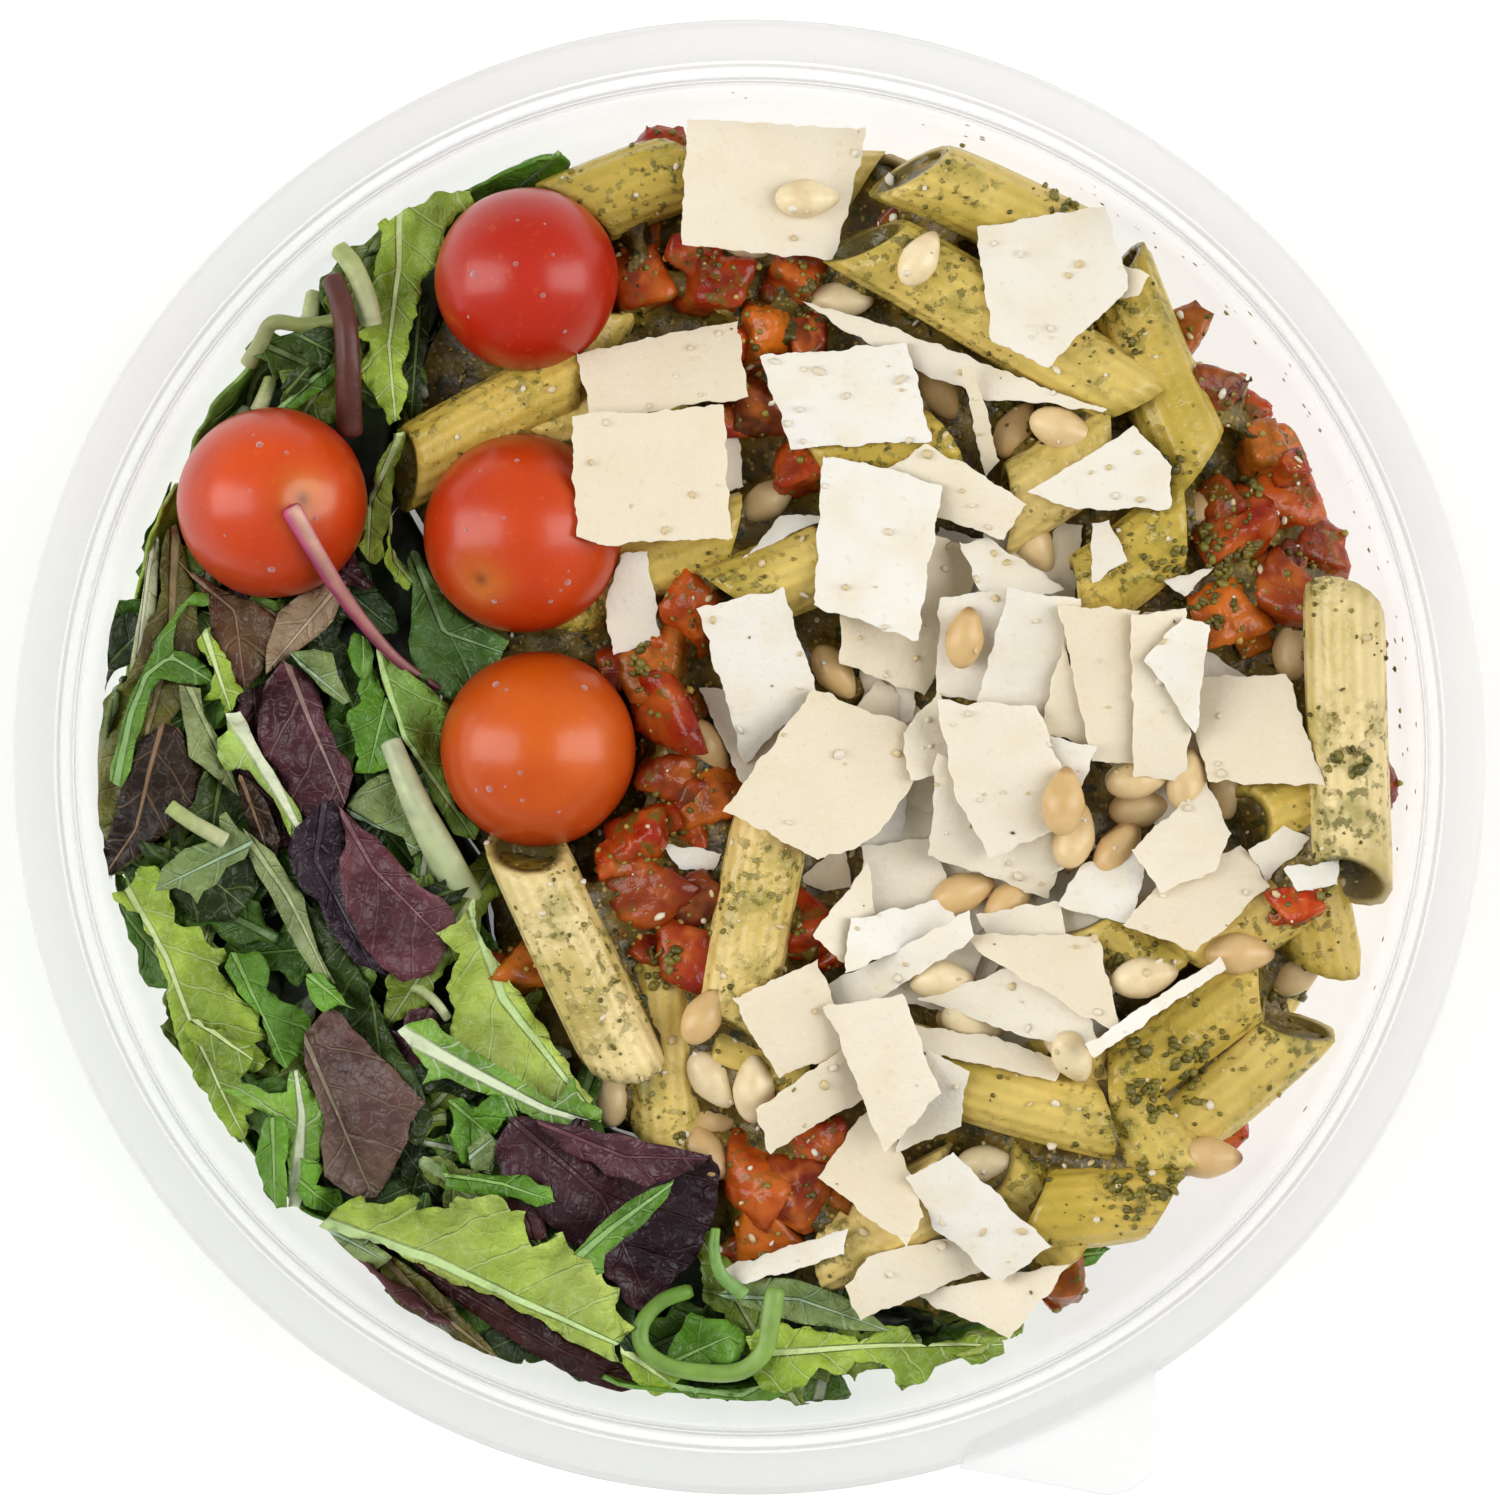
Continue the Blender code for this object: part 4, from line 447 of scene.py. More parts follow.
# blade, its second colour, veins, edge teeth mm, waves mm, half width of the midrib mm, gap between side veins mm
STYLES = {
    "stalk": ("c3c9a0", "a8b080", "d0d4b0", 0.1, 0.3, 0.3, 9),
    "olive": ("6f7428", "4a3c1a", "9a8660", 0.4, 1.8, 0.5, 6),
    "oak": ("2e1e12", "20140c", "8a6c50", 0.6, 1.8, 0.35, 6),
    "crescent": ("2a0e0c", "3c1816", "4a2824", 0.3, 0.8, 0.3, 8),
    "dark": ("34481a", "243010", "6a8444", 0.8, 1.6, 0.3, 5),
    "rocket": ("6a9632", "548224", "92b870", 0.4, 1.2, 0.5, 6),
    "frill": ("aec84c", "84a42c", "cfe09a", 1.5, 2.6, 0.45, 5),
    "spinach": ("3a5c22", "567a38", "7a9c66", 0.2, 1.8, 0.45, 7),
    "sage": ("8a9c5e", "70864a", "a2bc98", 0.4, 1.4, 0.3, 6),
    "leaf": ("6a9c30", "487618", "8cb45e", 0.9, 1.7, 0.3, 5),
    "chard": ("8cba50", "648426", "b4d084", 0.3, 1.8, 0.5, 6),
    "brown": ("5e3022", "6e5c3e", "8a6e54", 0.5, 1.8, 0.3, 7),
    "beige": ("9a8468", "846e50", "b8a488", 0.4, 1.4, 0.3, 7),
    "strip": ("8e9a66", "7e8a54", "acb682", 0.3, 1.4, 0.4, 7),
    "purple": ("46202a", "5e323a", "9a7a74", 0.5, 2.0, 0.4, 6),
    "paleleaf": ("acc864", "92b048", "dfe6c4", 0.5, 1.2, 1.3, 6),
    "black": ("22121c", "32222e", "42343e", 0.5, 2.2, 0.4, 7),
    "maroon": ("52282e", "6c4046", "7e5458", 0.5, 2.0, 0.35, 6),
    "mizuna": ("86b040", "669630", "d8e2be", 0.7, 1.2, 0.9, 6),
    "greybrown": ("6c5648", "5e403c", "8a7c66", 0.5, 2.0, 0.35, 7),
    "lettuce": ("bccc64", "94ae3c", "c4de98", 1.1, 3.2, 0.8, 7),
    "darkpurple": ("2c1820", "44242c", "4e3238", 0.7, 2.6, 0.4, 8),
    "plum": ("56303a", "42222c", "6e444e", 0.4, 1.4, 0.3, 7),
}

STEM_COLOURS = {
    "pink": ("c2447a", "6a1f3a"), "redstem": ("6b4038", "5a3028"), "palestem": ("b8c878", "c5ca9a"),
    "olivestem": ("b9bb8a", "8a9650"), "stalkstem": ("c9d2a8", "c0cc98"), "greenstem": ("6f9a38", "86b060"),
    "loop": ("6a9238", "8cae54"),
}

TOMATO_COLOURS = ("b82406", "da4e10", "d24808", "d6600c")
# Deep red painted on each tomato's sides and underside as shade
TOMATO_PAINTED_SHADE = "8e1404"
SCAR_HALO = "d29a30"
SCAR_CORE = "6a4a1c"
DICE_COLOURS = ("a0240a", "b4460e", "8c2a0a", "cc6a16", "741e0a", "54220c", "b02c08", "a05a14")
DICE_RIPE = "d0702a"
DICE_DARK = "5c1408"
PENNE_SHADES = ("f0d99c", "e8cc80", "dfc36a", "d4b656", "c4aa4a")
PENNE_TINTS = "23322312342230332322231222210"
HERBS = ("665e22", "56501a", "7a7029", "867a30", "94863a", "a28c40")
PASTE = ("726826", "807430", "605820")
GRAIN = "c8a850"
PINE = ("eedcb2", "e4c996", "dab880")
PINE_TIP = "7a4426"
CHEESE_SHADES = ("e9e1cf", "ece6d8", "e7dbc2", "eeeae0", "eae0cb")
CHEESE_THIN = "e4d4b0"
CRUMB_SHADES = ("e2d6bc", "d8c496", "e8e0cc")

# The way each tomato's scar points
SCARS = ((-0.6, 0.7, -0.3), (0.36, 0.02, 0.93), (-0.42, -0.49, 0.76), (0.5, -0.6, -0.6))

# Kinds of the half hidden leaves, and of the leaves against the wall
FILLERS = ("leaf", "frill", "rocket", "lettuce", "mizuna", "dark", "spinach", "frill", "leaf", "maroon", "chard")
WALL_KINDS = ("leaf", "frill", "darkpurple", "rocket", "lettuce", "maroon", "sage", "spinach", "chard", "olive")

# x, y and turn of the nuts that lie on or between the shavings in the middle
NUTS_AMONG_CHEESE = (
    (27.7, -17.5, 20), (33.7, -18.7, 50), (25.2, -27.4, 0), (28.6, -34.4, -15), (41.1, -38, -60), (40.3, -5.5, 85),
    (42, -10.6, 75), (47.6, -12, 55), (50.5, -3, 10), (56.5, -3.2, 80),
)

# x, y and radius of the thick clumps of pesto, and the tries at placing a bit in them
PESTO = (
    (56, -40, 5), (52, -44, 4), (51, -38, 4), (46, -26, 4), (51, -56, 5), (60, -37, 4), (62, 26, 6), (60, 20, 4),
    (55, 25, 4), (45, 58, 4), (50, 55, 3), (52, 38, 5), (66, 36, 3), (33, 44, 4), (70, 60, 4), (77, 0, 3),
    (76, -16, 4), (30, -74, 4), (-12, -28, 4), (-6, -52, 5), (-14, 12, 3), (8, 60, 3), (22, 66, 3), (40, 72, 3),
    (70, -30, 4),
)
PESTO_TRIES = 26000


def linear(code):
    """A colour written as sRGB hex, as linear RGB with full alpha."""
    parts = [int(code[k:k + 2], 16) / 255 for k in (0, 2, 4)]
    return tuple(c / 12.92 if c <= 0.04045 else ((c + 0.055) / 1.055) ** 2.4 for c in parts) + (1.0,)


WHITE = linear("ffffff")


def mixed(one, other, share):
    """A colour part of the way from one to another, both linear."""
    return tuple(a + (b - a) * share for a, b in zip(one, other))


def shaded(colour, light):
    """A linear colour made lighter or darker."""
    return (*(c * light for c in colour[:3]), colour[3])


def pairs(flat):
    """Places from a row of x, y, x, y."""
    return list(zip(flat[::2], flat[1::2]))


def uneven(*place):
    """Smooth noise at a place, between -1 and 1."""
    return noise(Vector(place))


# Materials

SMOOTH = {"interpolation_type": "SMOOTHSTEP"}


def add(tree, kind, inputs=(), **settings):
    """Adds a node with its settings, its inputs set or linked, and gives back its outputs."""
    node = tree.nodes.new("ShaderNode" + kind)
    for name, value in settings.items():
        setattr(node, name, value)
    for key, value in dict(inputs).items():
        if isinstance(value, bpy.types.NodeSocket):
            tree.links.new(value, node.inputs[key])
        else:
            node.inputs[key].default_value = value
    return node.outputs


def pattern(tree, size, detail=3, span=None, ends=(0, 1), cells=None):
    """Clouds of about this size in millimetres, or cells where a feature of theirs is named: their value, or how
    far it is through a span, taken smoothly from one end to the other."""
    where = add(tree, "TexCoord")["Object"]
    if cells:
        value = add(tree, "TexVoronoi", {"Vector": where, "Scale": 1 / (size * MM)}, feature=cells)["Distance"]
    else:
        value = add(tree, "TexNoise", {"Vector": where, "Scale": 0.6 / (size * MM), "Detail": detail})[0]
    if span is None:
        return value
    return add(tree, "MapRange", dict(enumerate((value, *span, *ends))), **SMOOTH)[0]


def painted(tree, base, *coats):
    """A colour under coats of others, each with its share, its colour and, below 1, its strength."""
    for share, colour, strength in coats:
        if strength < 1:
            share = add(tree, "Math", {0: share, 1: strength}, operation="MULTIPLY")[0]
        if isinstance(colour, str):
            colour = linear(colour)
        base = add(tree, "Mix", {0: share, 6: base, 7: colour}, data_type="RGBA")[2]
    return base


def material(name):
    """A material without nodes, and its tree."""
    made = bpy.data.materials.new(name)
    made.use_nodes = True
    made.node_tree.nodes.clear()
    return made, made.node_tree


def tinted(name):
    """A material, its tree and the colour that a piece's mesh holds."""
    made, tree = material(name)
    return made, tree, add(tree, "Attribute", attribute_name="tint")["Color"]


def surface(made, relief=None, **inputs):
    """Ends the material in a Principled surface with these inputs, underscores for spaces. A relief is a height
    between 0 and 1, and how many millimetres that is."""
    tree = made.node_tree
    named = {key.replace("_", " "): value for key, value in inputs.items()}
    if relief:
        named["Normal"] = add(tree, "Bump", {"Height": relief[0], "Distance": relief[1] * MM})[0]
    add(tree, "OutputMaterial", {"Surface": add(tree, "BsdfPrincipled", named)[0]})
    made.diffuse_color = (0.5, 0.5, 0.5, 1)
    return made


def clear_pet(name, body, edge, rough, grain, least, most):
    """Thermoformed PET sheet: clear face on, glossier where one looks along it, greyed there and on its rings by
    painted shade, and milky on its rings.
    A frosted sheet has a grain too fine to see one by one, drawn 0.3 mm wide."""
    made, tree = material(name)
    facing = add(tree, "LayerWeight", {"Blend": 0.35})["Facing"]
    # The tint is darker on the rings, where the sheet shows more and greys: painted shade lines
    smooth = add(tree, "Attribute", attribute_name="tint")["Fac"]
    ridge = add(tree, "Math", {0: 1.0, 1: smooth}, operation="SUBTRACT")[0]
    body_shown = add(tree, "MapRange", {0: facing, 1: 0.1, 2: 1.0, 3: least, 4: most}, **SMOOTH)[0]
    ridge_shown = add(tree, "Math", {0: ridge, 1: 0.55}, operation="MULTIPLY")[0]
    shown = add(tree, "Math", {0: body_shown, 1: ridge_shown}, operation="MAXIMUM")[0]
    # Painted shade: the colour greys where one looks along the sheet, and on the rings
    painted_grazing_shade = add(tree, "MapRange", {0: facing, 1: 0.8, 2: 1.0}, **SMOOTH)[0]
    grey = add(tree, "Math", {0: painted_grazing_shade, 1: ridge}, operation="MAXIMUM")[0]
    inputs = {"Base Color": painted(tree, linear(body), (grey, edge, 1)), "Roughness": rough, "IOR": 1.57}
    if grain:
        inputs["Normal"] = add(tree, "Bump", {"Height": pattern(tree, 0.3, 2), "Distance": grain * MM})[0]
    plastic = add(tree, "BsdfPrincipled", inputs)[0]
    through = add(tree, "BsdfTranslucent", {"Color": WHITE})[0]
    flat = add(tree, "Math", {0: 1.0, 1: ridge}, operation="SUBTRACT")[0]
    lit = add(tree, "Math", {0: flat, 1: 0.55}, operation="MULTIPLY")[0]
    milky = add(tree, "MixShader", {0: lit, 1: plastic, 2: through})[0]
    gap = add(tree, "BsdfTransparent", {"Color": WHITE})[0]
    add(tree, "OutputMaterial", {"Surface": add(tree, "MixShader", {0: shown, 1: gap, 2: milky})[0]})
    return made


def tomato_skin():
    """Ripe cherry tomato: a thin waxy skin, so a sharp gloss over red flesh that the light enters."""
    made, tree, tint = tinted("cherry_tomato_skin")
    patches = pattern(tree, 11, 3, (0.3, 0.75), (0, 0.5))
    specks = pattern(tree, 0.7, 2, (0.6, 0.75), (0, 0.12))
    return surface(
        made, (pattern(tree, 1.6), 0.05),
        Base_Color=painted(tree, tint, (patches, "a61c06", 1), (specks, "e08a34", 1)),
        Roughness=0.34, IOR=1.4, Coat_Weight=0.22, Coat_Roughness=0.2, Subsurface_Weight=0.12,
        Subsurface_Radius=(1.0, 0.25, 0.1), Subsurface_Scale=2 * MM)


def leaf_blade():
    """Fresh salad leaf: waxy cuticle over a blistered blade, with paler ribs and veins."""
    made, tree, tint = tinted("salad_leaf")
    vein = add(tree, "Attribute", attribute_name="vein")
    place = add(tree, "Attribute", attribute_name="place")["Vector"]
    along, sideways, spacing = add(tree, "SeparateXYZ", {0: place})
    across = add(tree, "Math", {0: sideways}, operation="ABSOLUTE")[0]
    widths = add(tree, "Math", {0: across, 1: vein["Alpha"]}, operation="DIVIDE")[0]
    rib = add(tree, "MapRange", {0: widths, 1: 0.7, 2: 1.4, 3: 1.0, 4: 0.0}, **SMOOTH)[0]
    # Side veins leave the midrib at a slant, and wander
    slant = add(tree, "Math", {0: across, 1: 0.9}, operation="MULTIPLY")[0]
    straight = add(tree, "Math", {0: along, 1: slant}, operation="SUBTRACT")[0]
    wander = add(tree, "Math", {0: pattern(tree, 6), 1: 4.0}, operation="MULTIPLY")[0]
    phase = add(tree, "Math", {0: straight, 1: wander}, operation="ADD")[0]
    half = add(tree, "Math", {0: spacing, 1: 0.5}, operation="MULTIPLY")[0]
    beat = add(tree, "Math", {0: phase, 1: half}, operation="PINGPONG")[0]
    side = add(tree, "MapRange", {0: beat, 1: 0.05, 2: 0.4, 3: 0.4, 4: 0.0}, **SMOOTH)[0]
    net = pattern(tree, 2, span=(0.01, 0.09), ends=(0.12, 0), cells="DISTANCE_TO_EDGE")
    fine = add(tree, "Math", {0: side, 1: net}, operation="MAXIMUM")[0]
    lines = add(tree, "Math", {0: rib, 1: fine}, operation="MAXIMUM")[0]
    dim = pattern(tree, 5, 3, (0.3, 0.7), (1.1, 0.6))
    patchy = add(tree, "VectorMath", {0: tint, "Scale": dim}, operation="SCALE")[0]
    sunk = add(tree, "Math", {0: lines, 1: -0.4}, operation="MULTIPLY")[0]
    blister = add(tree, "Math", {0: pattern(tree, 2.2), 1: sunk}, operation="ADD")[0]
    return surface(
        made, (blister, 1.3), Base_Color=painted(tree, patchy, (lines, vein["Color"], 1)),
        Roughness=pattern(tree, 3, 3, (0.3, 0.7), (0.24, 0.46)), IOR=1.38)


def leaf_stalk():
    """Leaf stalks: smooth juicy stems, finely ribbed along their length."""
    made, tree, tint = tinted("leaf_stalk")
    light = pattern(tree, 2.5, 3, (0.3, 0.7), (0.85, 1.08))
    colour = add(tree, "VectorMath", {0: tint, "Scale": light}, operation="SCALE")[0]
    return surface(made, (pattern(tree, 0.8), 0.1), Base_Color=colour, Roughness=0.35, IOR=1.4)


def leaves_in_painted_shade():
    """Shaded leaves deeper in the bowl: near black green with hints of the blades above."""
    made, tree = material("leaves_in_shade")
    # The near black green is painted shade for the depth between the leaves
    colour = painted(tree, linear("10160a"), (pattern(tree, 6, 3, (0.35, 0.7)), "34481a", 1))
    return surface(made, (pattern(tree, 4), 1.0), Base_Color=colour, Roughness=0.5)


def pesto_pasta():
    """Durum wheat penne tossed in pesto: waxy yellow pasta, oily film, green herb flecks in the grooves."""
    made, tree, tint = tinted("penne_in_pesto")
    place = add(tree, "Attribute", attribute_name="place")["Vector"]
    ridge, _, hollow = add(tree, "SeparateXYZ", {0: place})
    groove = add(tree, "Math", {0: 1.0, 1: ridge}, operation="SUBTRACT")[0]
    film = pattern(tree, 9, 3, (0.4, 0.66))
    many = pattern(tree, 8, 4, (0.38, 0.64), (0.05, 1))
    herb, smear = (add(tree, "Math", {0: pattern(tree, *size), 1: many}, operation="MULTIPLY")[0]
                   for size in ((0.8, 3, (0.55, 0.64)), (3.2, 4, (0.48, 0.64))))
    green = painted(tree, linear("7e7830"), (pattern(tree, 1.6, 3, (0.4, 0.6)), "5c5a1e", 1))
    # Inside each tube, where hollow is 1, the colour darkens toward 4e4214 as painted shade
    colour = painted(
        tree, tint, (film, "ac962c", 0.55), (groove, "90802c", 0.18), (hollow, "4e4214", 0.85),
        (smear, "8e8430", 0.65), (herb, green, 0.7))
    flecks = add(tree, "Math", {0: herb, 1: 0.5}, operation="MULTIPLY")[0]
    coating = add(tree, "Math", {0: flecks, 1: smear}, operation="ADD")[0]
    height = add(tree, "Math", {0: pattern(tree, 1), 1: coating}, operation="ADD")[0]
    oily = add(tree, "MapRange", {0: film, 3: 0.36, 4: 0.2}, **SMOOTH)[0]
    return surface(made, (height, 0.28), Base_Color=colour, Roughness=oily, IOR=1.46)


def pesto_paste_and_painted_shade():
    """Basil pesto: oil with crushed leaf, nut and cheese, so a wet olive green paste with pale grains."""
    made, tree = material("basil_pesto")
    oil = pattern(tree, 3, 5, (0.35, 0.65))
    grains = pattern(tree, 1.3, span=(0.12, 0.3), ends=(0.6, 0), cells="F1")
    leafy = pattern(tree, 1.1, 4, (0.56, 0.64))
    # The dark base is partly pesto's own colour and partly painted shade for the gaps between the pieces above it
    colour = painted(tree, linear("4a3c14"), (oil, "826c28", 1), (grains, "c8ac5c", 1), (leafy, "343610", 1))
    return surface(made, (pattern(tree, 1.2, 5), 0.7), Base_Color=colour, Roughness=0.3, IOR=1.47)


def roast_dice():
    """Roasted tomato and pepper: soft wet flesh, browned in patches and flecked with pesto."""
    made, tree, tint = tinted("roast_tomato_and_pepper")
    brown = pattern(tree, 3.5, 4, (0.35, 0.7))
    many = pattern(tree, 9, 3, (0.42, 0.6), (0.1, 1))
    flecks = pattern(tree, 1.4, 6, (0.54, 0.62), (0, 0.85))
    herb = add(tree, "Math", {0: flecks, 1: many}, operation="MULTIPLY")[0]
    colour = painted(tree, tint, (brown, "c4601a", 0.35), (herb, "6c5c1c", 1))
    return surface(made, (pattern(tree, 1.8, 4), 0.5), Base_Color=colour, Roughness=0.22, IOR=1.4)


def pine_nut():
    """Pine nuts: smooth oily ivory kernels, browned a little at the tip."""
    made, tree, tint = tinted("pine_nut")
    toasted = pattern(tree, 2.5, 3, (0.4, 0.7), (0, 0.4))
    return surface(
        made, (pattern(tree, 0.8), 0.08), Base_Color=painted(tree, tint, (toasted, "c29a5c", 1)), Roughness=0.32,
        IOR=1.46, Subsurface_Weight=0.1, Subsurface_Radius=(1.0, 0.8, 0.5), Subsurface_Scale=1.5 * MM)


def hard_cheese():
    """Aged grana shavings: ivory, grainy from protein crystals, translucent where thin."""
    made, tree, tint = tinted("aged_grana")
    mottle = pattern(tree, 7, 3, (0.35, 0.7), (0, 0.25))
    crystals = pattern(tree, 1.1, span=(0.08, 0.2), ends=(0.35, 0), cells="F1")
    pits = pattern(tree, 0.6, 3, (0.6, 0.72), (0, 0.2))
    colour = painted(tree, tint, (mottle, "e2d4b2", 1), (crystals, "f2ede0", 1), (pits, "ccb888", 1))
    waves = add(tree, "Math", {0: pattern(tree, 3), 1: 0.8}, operation="MULTIPLY")[0]
    grain = add(tree, "Math", {0: pattern(tree, 0.7), 1: waves}, operation="ADD")[0]
    return surface(
        made, (grain, 0.14), Base_Color=colour, Roughness=0.5, IOR=1.45, Subsurface_Weight=0.25,
        Subsurface_Radius=(1.0, 0.85, 0.6), Subsurface_Scale=1.5 * MM)


def crumb_stuff(name, rough):
    """Crushed herb, nut and cheese: the bits of a pesto, wet with oil or drier."""
    made, _, tint = tinted(name)
    return surface(made, Base_Color=tint, Roughness=rough, IOR=1.46)


def water():
    """Water drops: clear, only their rims and highlights show."""
    made, tree = material("water_drop")
    facing = add(tree, "LayerWeight", {"Blend": 0.5})["Facing"]
    gloss = add(tree, "BsdfPrincipled", {"Base Color": linear("f4f6f6"), "Roughness": 0.03, "IOR": 1.33})[0]
    gap = add(tree, "BsdfTransparent", {"Color": linear("f0e4e0")})[0]
    share = add(tree, "MapRange", {0: facing, 3: 0.12, 4: 0.55}, **SMOOTH)[0]
    add(tree, "OutputMaterial", {"Surface": add(tree, "MixShader", {0: share, 1: gap, 2: gloss})[0]})
    return made


# Meshes

def linked(name, data):
    """A new object in the scene."""
    thing = bpy.data.objects.new(name, data)
    bpy.context.scene.collection.objects.link(thing)
    return thing


class Batch:
    """Joins small shapes into one mesh that holds two colours and a place on the shape at every corner."""

    def __init__(self):
        self.points, self.faces, self.tints, self.veins, self.places = [], [], [], [], []

    def add(self, points, faces, tint, vein=(0, 0, 0, 1), places=None):
        """Takes in a shape: its tint and vein are one colour, or a list with one for each point."""
        start, count = len(self.points), len(points)
        self.points += points
        self.faces += [[start + k for k in face] for face in faces]
        self.tints += tint if isinstance(tint, list) else [tint] * count
        self.veins += vein if isinstance(vein, list) else [vein] * count
        self.places += places or [(1.0, 0.0, 0.0)] * count

    def build(self, name, finish, node, slot, sharp=180):
        """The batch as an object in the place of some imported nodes, with edges sharper than some degrees kept."""
        mesh = bpy.data.meshes.new(name)
        mesh.from_pydata(self.points, [], self.faces)
        held = (("tint", "FLOAT_COLOR", self.tints), ("vein", "FLOAT_COLOR", self.veins),
                ("place", "FLOAT_VECTOR", self.places))
        for title, kind, values in held:
            data = mesh.attributes.new(title, kind, "POINT").data
            data.foreach_set("color" if kind == "FLOAT_COLOR" else "vector", [c for v in values for c in v])
        mesh.materials.append(finish)
        mesh.shade_smooth()
        if sharp < 180:
            mesh.set_sharp_from_angle(angle=math.radians(sharp))
        return placed(linked(name, mesh), node, slot)


def placed(thing, nodes, slot):
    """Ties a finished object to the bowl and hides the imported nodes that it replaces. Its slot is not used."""
    bpy.context.view_layer.update()
    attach(thing, "root")
    if nodes:
        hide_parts(*nodes)
    return thing


def band(low, high):
    """The four-sided faces between two closed rings of point numbers."""
    return [[low[k], low[after], high[after], high[k]] for k, after in enumerate([*range(1, len(low)), 0])]


def both_sides(faces, count):
    """The faces of a sheet, of its underside, whose points are numbered from count on, and of its edge."""
    sides = dict.fromkeys((face[k], face[(k + 1) % 3]) for face in faces for k in range(3))
    rim = [pair for pair in sides if pair[::-1] not in sides]
    made = [list(face) for face in faces] + [[count + k for k in reversed(face)] for face in faces]
    return made + [[b, a, count + a, count + b] for a, b in rim]


def ball(columns, rows):
    """A unit ball's points and faces, poles on Z."""
    points = [Vector((0, 0, -1))]
    for row in range(1, rows):
        tilt = math.pi * row / rows
        for k in range(columns):
            turn = math.tau * k / columns
            points.append(Vector((math.sin(tilt) * math.cos(turn), math.sin(tilt) * math.sin(turn), -math.cos(tilt))))
    last = len(points)
    points.append(Vector((0, 0, 1)))
    rings = [range(low, low + columns) for low in range(1, last, columns)]
    faces = [[0, b, a] for a, b, *_ in band(rings[0], rings[0])]
    for low, high in zip(rings, rings[1:]):
        faces += band(low, high)
    return points, faces + [[a, b, last] for a, b, *_ in band(rings[-1], rings[-1])]


CHUNK = ball(28, 18)
KERNEL = ball(18, 12)
DROP = ball(12, 8)
CRUMB = ball(6, 4)


def tree_of(mesh):
    """A search tree of a mesh whose points are in the scene's places."""
    return BVHTree.FromPolygons([v.co for v in mesh.vertices], [p.vertices for p in mesh.polygons])


def finder(places):
    """A search tree of flat places, each with x and y first."""
    tree = KDTree(len(places))
    for k, place in enumerate(places):
        tree.insert((place[0], place[1], 0), k)
    tree.balance()
    return tree


def top_of(trees, x, y):
    """The highest surface at a place: its point and normal, or None."""
    hits = [tree.ray_cast(Vector((x, y, 0.09)), Vector((0, 0, -1))) for tree in trees]
    found = [hit for hit in hits if hit[0] is not None]
    return max(found, key=lambda hit: hit[0].z)[:2] if found else None


def ellipse_radius(rise):
    """The radius of the wall's curve, a quarter of an ellipse, at a share of its height."""
    return BASE_RADIUS + (MOUTH_RADIUS - BASE_RADIUS) * math.sqrt(1 - (1 - rise) ** 2)


def wall_radius(z):
    """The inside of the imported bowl's wall at a height, along its straight stretches."""
    rise = min(max((z - WALL) / (WALL_HEIGHT - WALL), 0.0), 1.0)
    for low, high in zip(WALL_RISES, WALL_RISES[1:]):
        if rise <= high:
            share = (rise - low) / (high - low)
            return ellipse_radius(low) * (1 - share) + ellipse_radius(high) * share
    return MOUTH_RADIUS


def room(z, reach):
    """How far from the axis a ball of this radius can lie at a height, clear of the wall."""
    steps = [reach * k / 4 for k in range(-4, 5)]
    return min(wall_radius(z + s) - math.sqrt(reach * reach - s * s) for s in steps) - 2 * GAP


def tucked(point, reach):
    """The point, moved in and up as far as the bowl makes a ball of this radius move."""
    x, y, z = point
    z = max(z, WALL + GAP + reach)
    far = math.hypot(x, y)
    scale = min(1.0, room(z, reach) / far) if far else 1.0
    return Vector((x * scale, y * scale, z))


def outside(angle, z):
    """A point well outside the wall, to be tucked in until it touches."""
    return Vector((math.cos(angle), math.sin(angle), 0)) * 120 * MM + Vector((0, 0, z))


def inside(point, margin=2 * GAP):
    """A soft piece's point, pulled in where it would stand past the wall or the floor."""
    z = max(point.z, WALL + GAP)
    far, limit = math.hypot(point.x, point.y), wall_radius(z) - margin
    scale = min(1.0, limit / far) if far else 1.0
    return Vector((point.x * scale, point.y * scale, z))


def pasta_height(x, y):
    """The bed of pasta: a low mound, highest right of the middle."""
    away = math.hypot(x - 18 * MM, y + 2 * MM) / (75 * MM)
    return (37.5 - 5.5 * away * away) * MM


def leaf_height(x, y):
    """The bed of leaves in millimetres: falls a little toward the wall."""
    away = math.hypot(x, y) / (MOUTH_RADIUS / MM)
    return 33 - 4 * away * away


def side_spots(first, last, heights, pitch):
    """Angles and heights, in staggered rows, round the wall from one angle in degrees to another."""
    for row, z in enumerate(heights):
        step = math.degrees(pitch / wall_radius(z))
        for k in range(int((last - first) // step)):
            yield row, math.radians(first + (k + 0.5 + 0.4 * (row % 2)) * step), z


def leafward(x, y):
    """How far a place lies on the leaves' side of the divide, in millimetres; negative over the pasta."""
    best, side = 999.0, 1.0
    for (x1, y1), (x2, y2) in zip(DIVIDE, DIVIDE[1:]):
        run = Vector((x2 - x1, y2 - y1))
        share = min(max(((x - x1) * run.x + (y - y1) * run.y) / run.length_squared, 0), 1)
        away = math.hypot(x - x1 - run.x * share, y - y1 - run.y * share)
        if away < best:
            best, side = away, -(run.x * (y - y1) - run.y * (x - x1))
    return best if side > 0 else -best


def anywhere(reach, draw):
    """A place at random on a disc."""
    far, turn = math.sqrt(draw.random()) * reach, draw.uniform(0, math.tau)
    return far * math.cos(turn), far * math.sin(turn)


# The bowl

